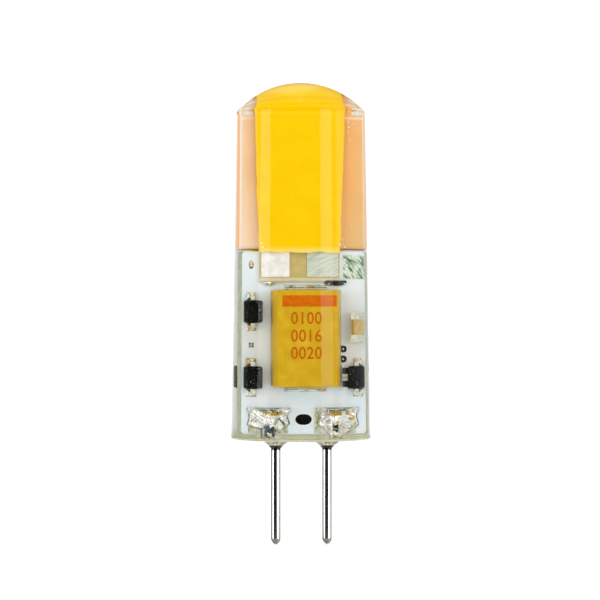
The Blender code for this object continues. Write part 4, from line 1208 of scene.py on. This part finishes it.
wall = [edge_arc[-1].lerp(shoulder_arc[0], i / WALL_STEPS) for i in range(1, WALL_STEPS)]
underside = [Vector((edge_x * i / UNDERSIDE_STEPS, 0)) for i in range(1, UNDERSIDE_STEPS)]
outline = underside + edge_arc + wall + shoulder_arc + dome_arc
capsule = turned_piece("clear_capsule", outline, 0, 0, CAPSULE_SIDES)
lip_radius = pin_radius + SKIRT_LIP
for vertex in capsule.data.vertices:
    if vertex.co.z > BASE_EDGE / 2:
        continue
    for low, high in pin_boxes.values():
        gap = math.hypot(vertex.co.x - (low.x + high.x) / 2, vertex.co.y - (low.y + high.y) / 2) - lip_radius
        share = 1 - min(max(gap / (SKIRT_RADIUS - lip_radius), 0), 1)
        vertex.co.z -= skirt_drop * share**SKIRT_BOW

silicone = new_finish("clear_silicone", 0.015)
shader = silicone.node_tree.nodes["Principled BSDF"]
shader.inputs["Transmission Weight"].default_value = 1.0
shader.inputs["IOR"].default_value = SILICONE_INDEX
tree = silicone.node_tree
# Soft silicone mirrors less from outside than hard glass does
skin = tree.nodes.new("ShaderNodeMix")
skin.data_type = "RGBA"
skin.inputs[6].default_value = SKIN_GLOSS
skin.inputs[7].default_value = STUDIO_WHITE
tree.links.new(tree.nodes.new("ShaderNodeNewGeometry").outputs["Backfacing"], skin.inputs["Factor"])
tree.links.new(skin.outputs[2], shader.inputs["Specular Tint"])
clear = tones(silicone, spots(silicone, 4 * MM), [(0.3, tone(252, 252, 248)), (0.7, tone(255, 255, 252))])
# Painted light: greenish just above the base, where light gathers in the wall's foot
gathered_light_tint = mask(
    silicone, share_along(silicone, "Z", GATHERED_LIGHT_FOOT, GATHERED_LIGHT_TOP), [(0.0, 1), (0.6, 0.8), (1.0, 0)]
)
colour_with(silicone, blend_colours(silicone, gathered_light_tint, clear, tone(212, 212, 176)))
grit(silicone, 2.5 * MM, 0.009 * MM, detail=3.0)
# Shadow rays and scattered light pass straight through it
path = tree.nodes.new("ShaderNodeLightPath").outputs
see_through = combined(tree, "MAXIMUM", path["Is Shadow Ray"], path["Is Diffuse Ray"])
mix_shaders(tree, see_through, shader, tree.nodes.new("ShaderNodeBsdfTransparent"))
capsule.data.materials.append(silicone)

# The rounded foot of the wall is duller than the rest, and greenish where light gathers in it
foot = new_finish("silicone_foot", 0.3)
shader = foot.node_tree.nodes["Principled BSDF"]
shader.inputs["Transmission Weight"].default_value = FOOT_CLEARNESS
shader.inputs["IOR"].default_value = SILICONE_INDEX
mottle(foot, 0.8 * MM, (0.35, tone(204, 204, 162)), (0.65, tone(230, 227, 202)))
grit(foot, 0.4 * MM, 0.01 * MM)
capsule.data.materials.append(foot)
for face in capsule.data.polygons:
    centre = face.center
    if FOOT_START < centre.z < FOOT_HEIGHT and math.hypot(centre.x, centre.y) > base_radius - 2 * BASE_EDGE:
        face.material_index = 1
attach(capsule, "root")
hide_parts("silicone_capsule")


# Bubbles. A few tiny bubbles of air, caught in the silicone beside the core and round the gel's lower end
# when the mould was filled. Each row is a bubble's place and radius, in millimetres.
BUBBLES = (
    (2.86, -0.95, 24.6, 0.05), (2.9, -1.0, 24.2, 0.06), (2.84, -0.9, 23.8, 0.04), (2.98, -1.1, 23.2, 0.04),
    (3.3, -1.0, 24.5, 0.03), (-2.62, -1.4, 15.2, 0.05), (-2.5, -1.3, 14.9, 0.06), (-2.8, -1.2, 15.5, 0.03),
    (2.35, -1.4, 15.1, 0.06), (2.5, -1.3, 15.5, 0.04), (2.7, -1.5, 14.9, 0.05), (3.1, -1.2, 16.6, 0.03),
)
BUBBLE_STRETCH = 1.25
bubbles = []
for x, y, z, radius in BUBBLES:
    bpy.ops.object.select_all(action="DESELECT")
    bpy.ops.mesh.primitive_ico_sphere_add(subdivisions=3, radius=radius * MM, location=Vector((x, y, z)) * MM)
    bubble = bpy.context.object
    bubble.scale = (1, 1, BUBBLE_STRETCH)
    bubbles.append(move_to_origin(bubble))
bubbles = join("bubbles", bubbles)
bubbles.data.shade_smooth()
# The bubbles are painted near white, a painted glint for the light that air bubbles mirror
air = new_finish("air_bubble", 0.1)
mottle(air, 0.1 * MM, (0.4, tone(244, 240, 236)), (0.6, STUDIO_WHITE))
grit(air, 0.02 * MM, 0.001 * MM)
bubbles.data.materials.append(air)
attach(bubbles, "root")
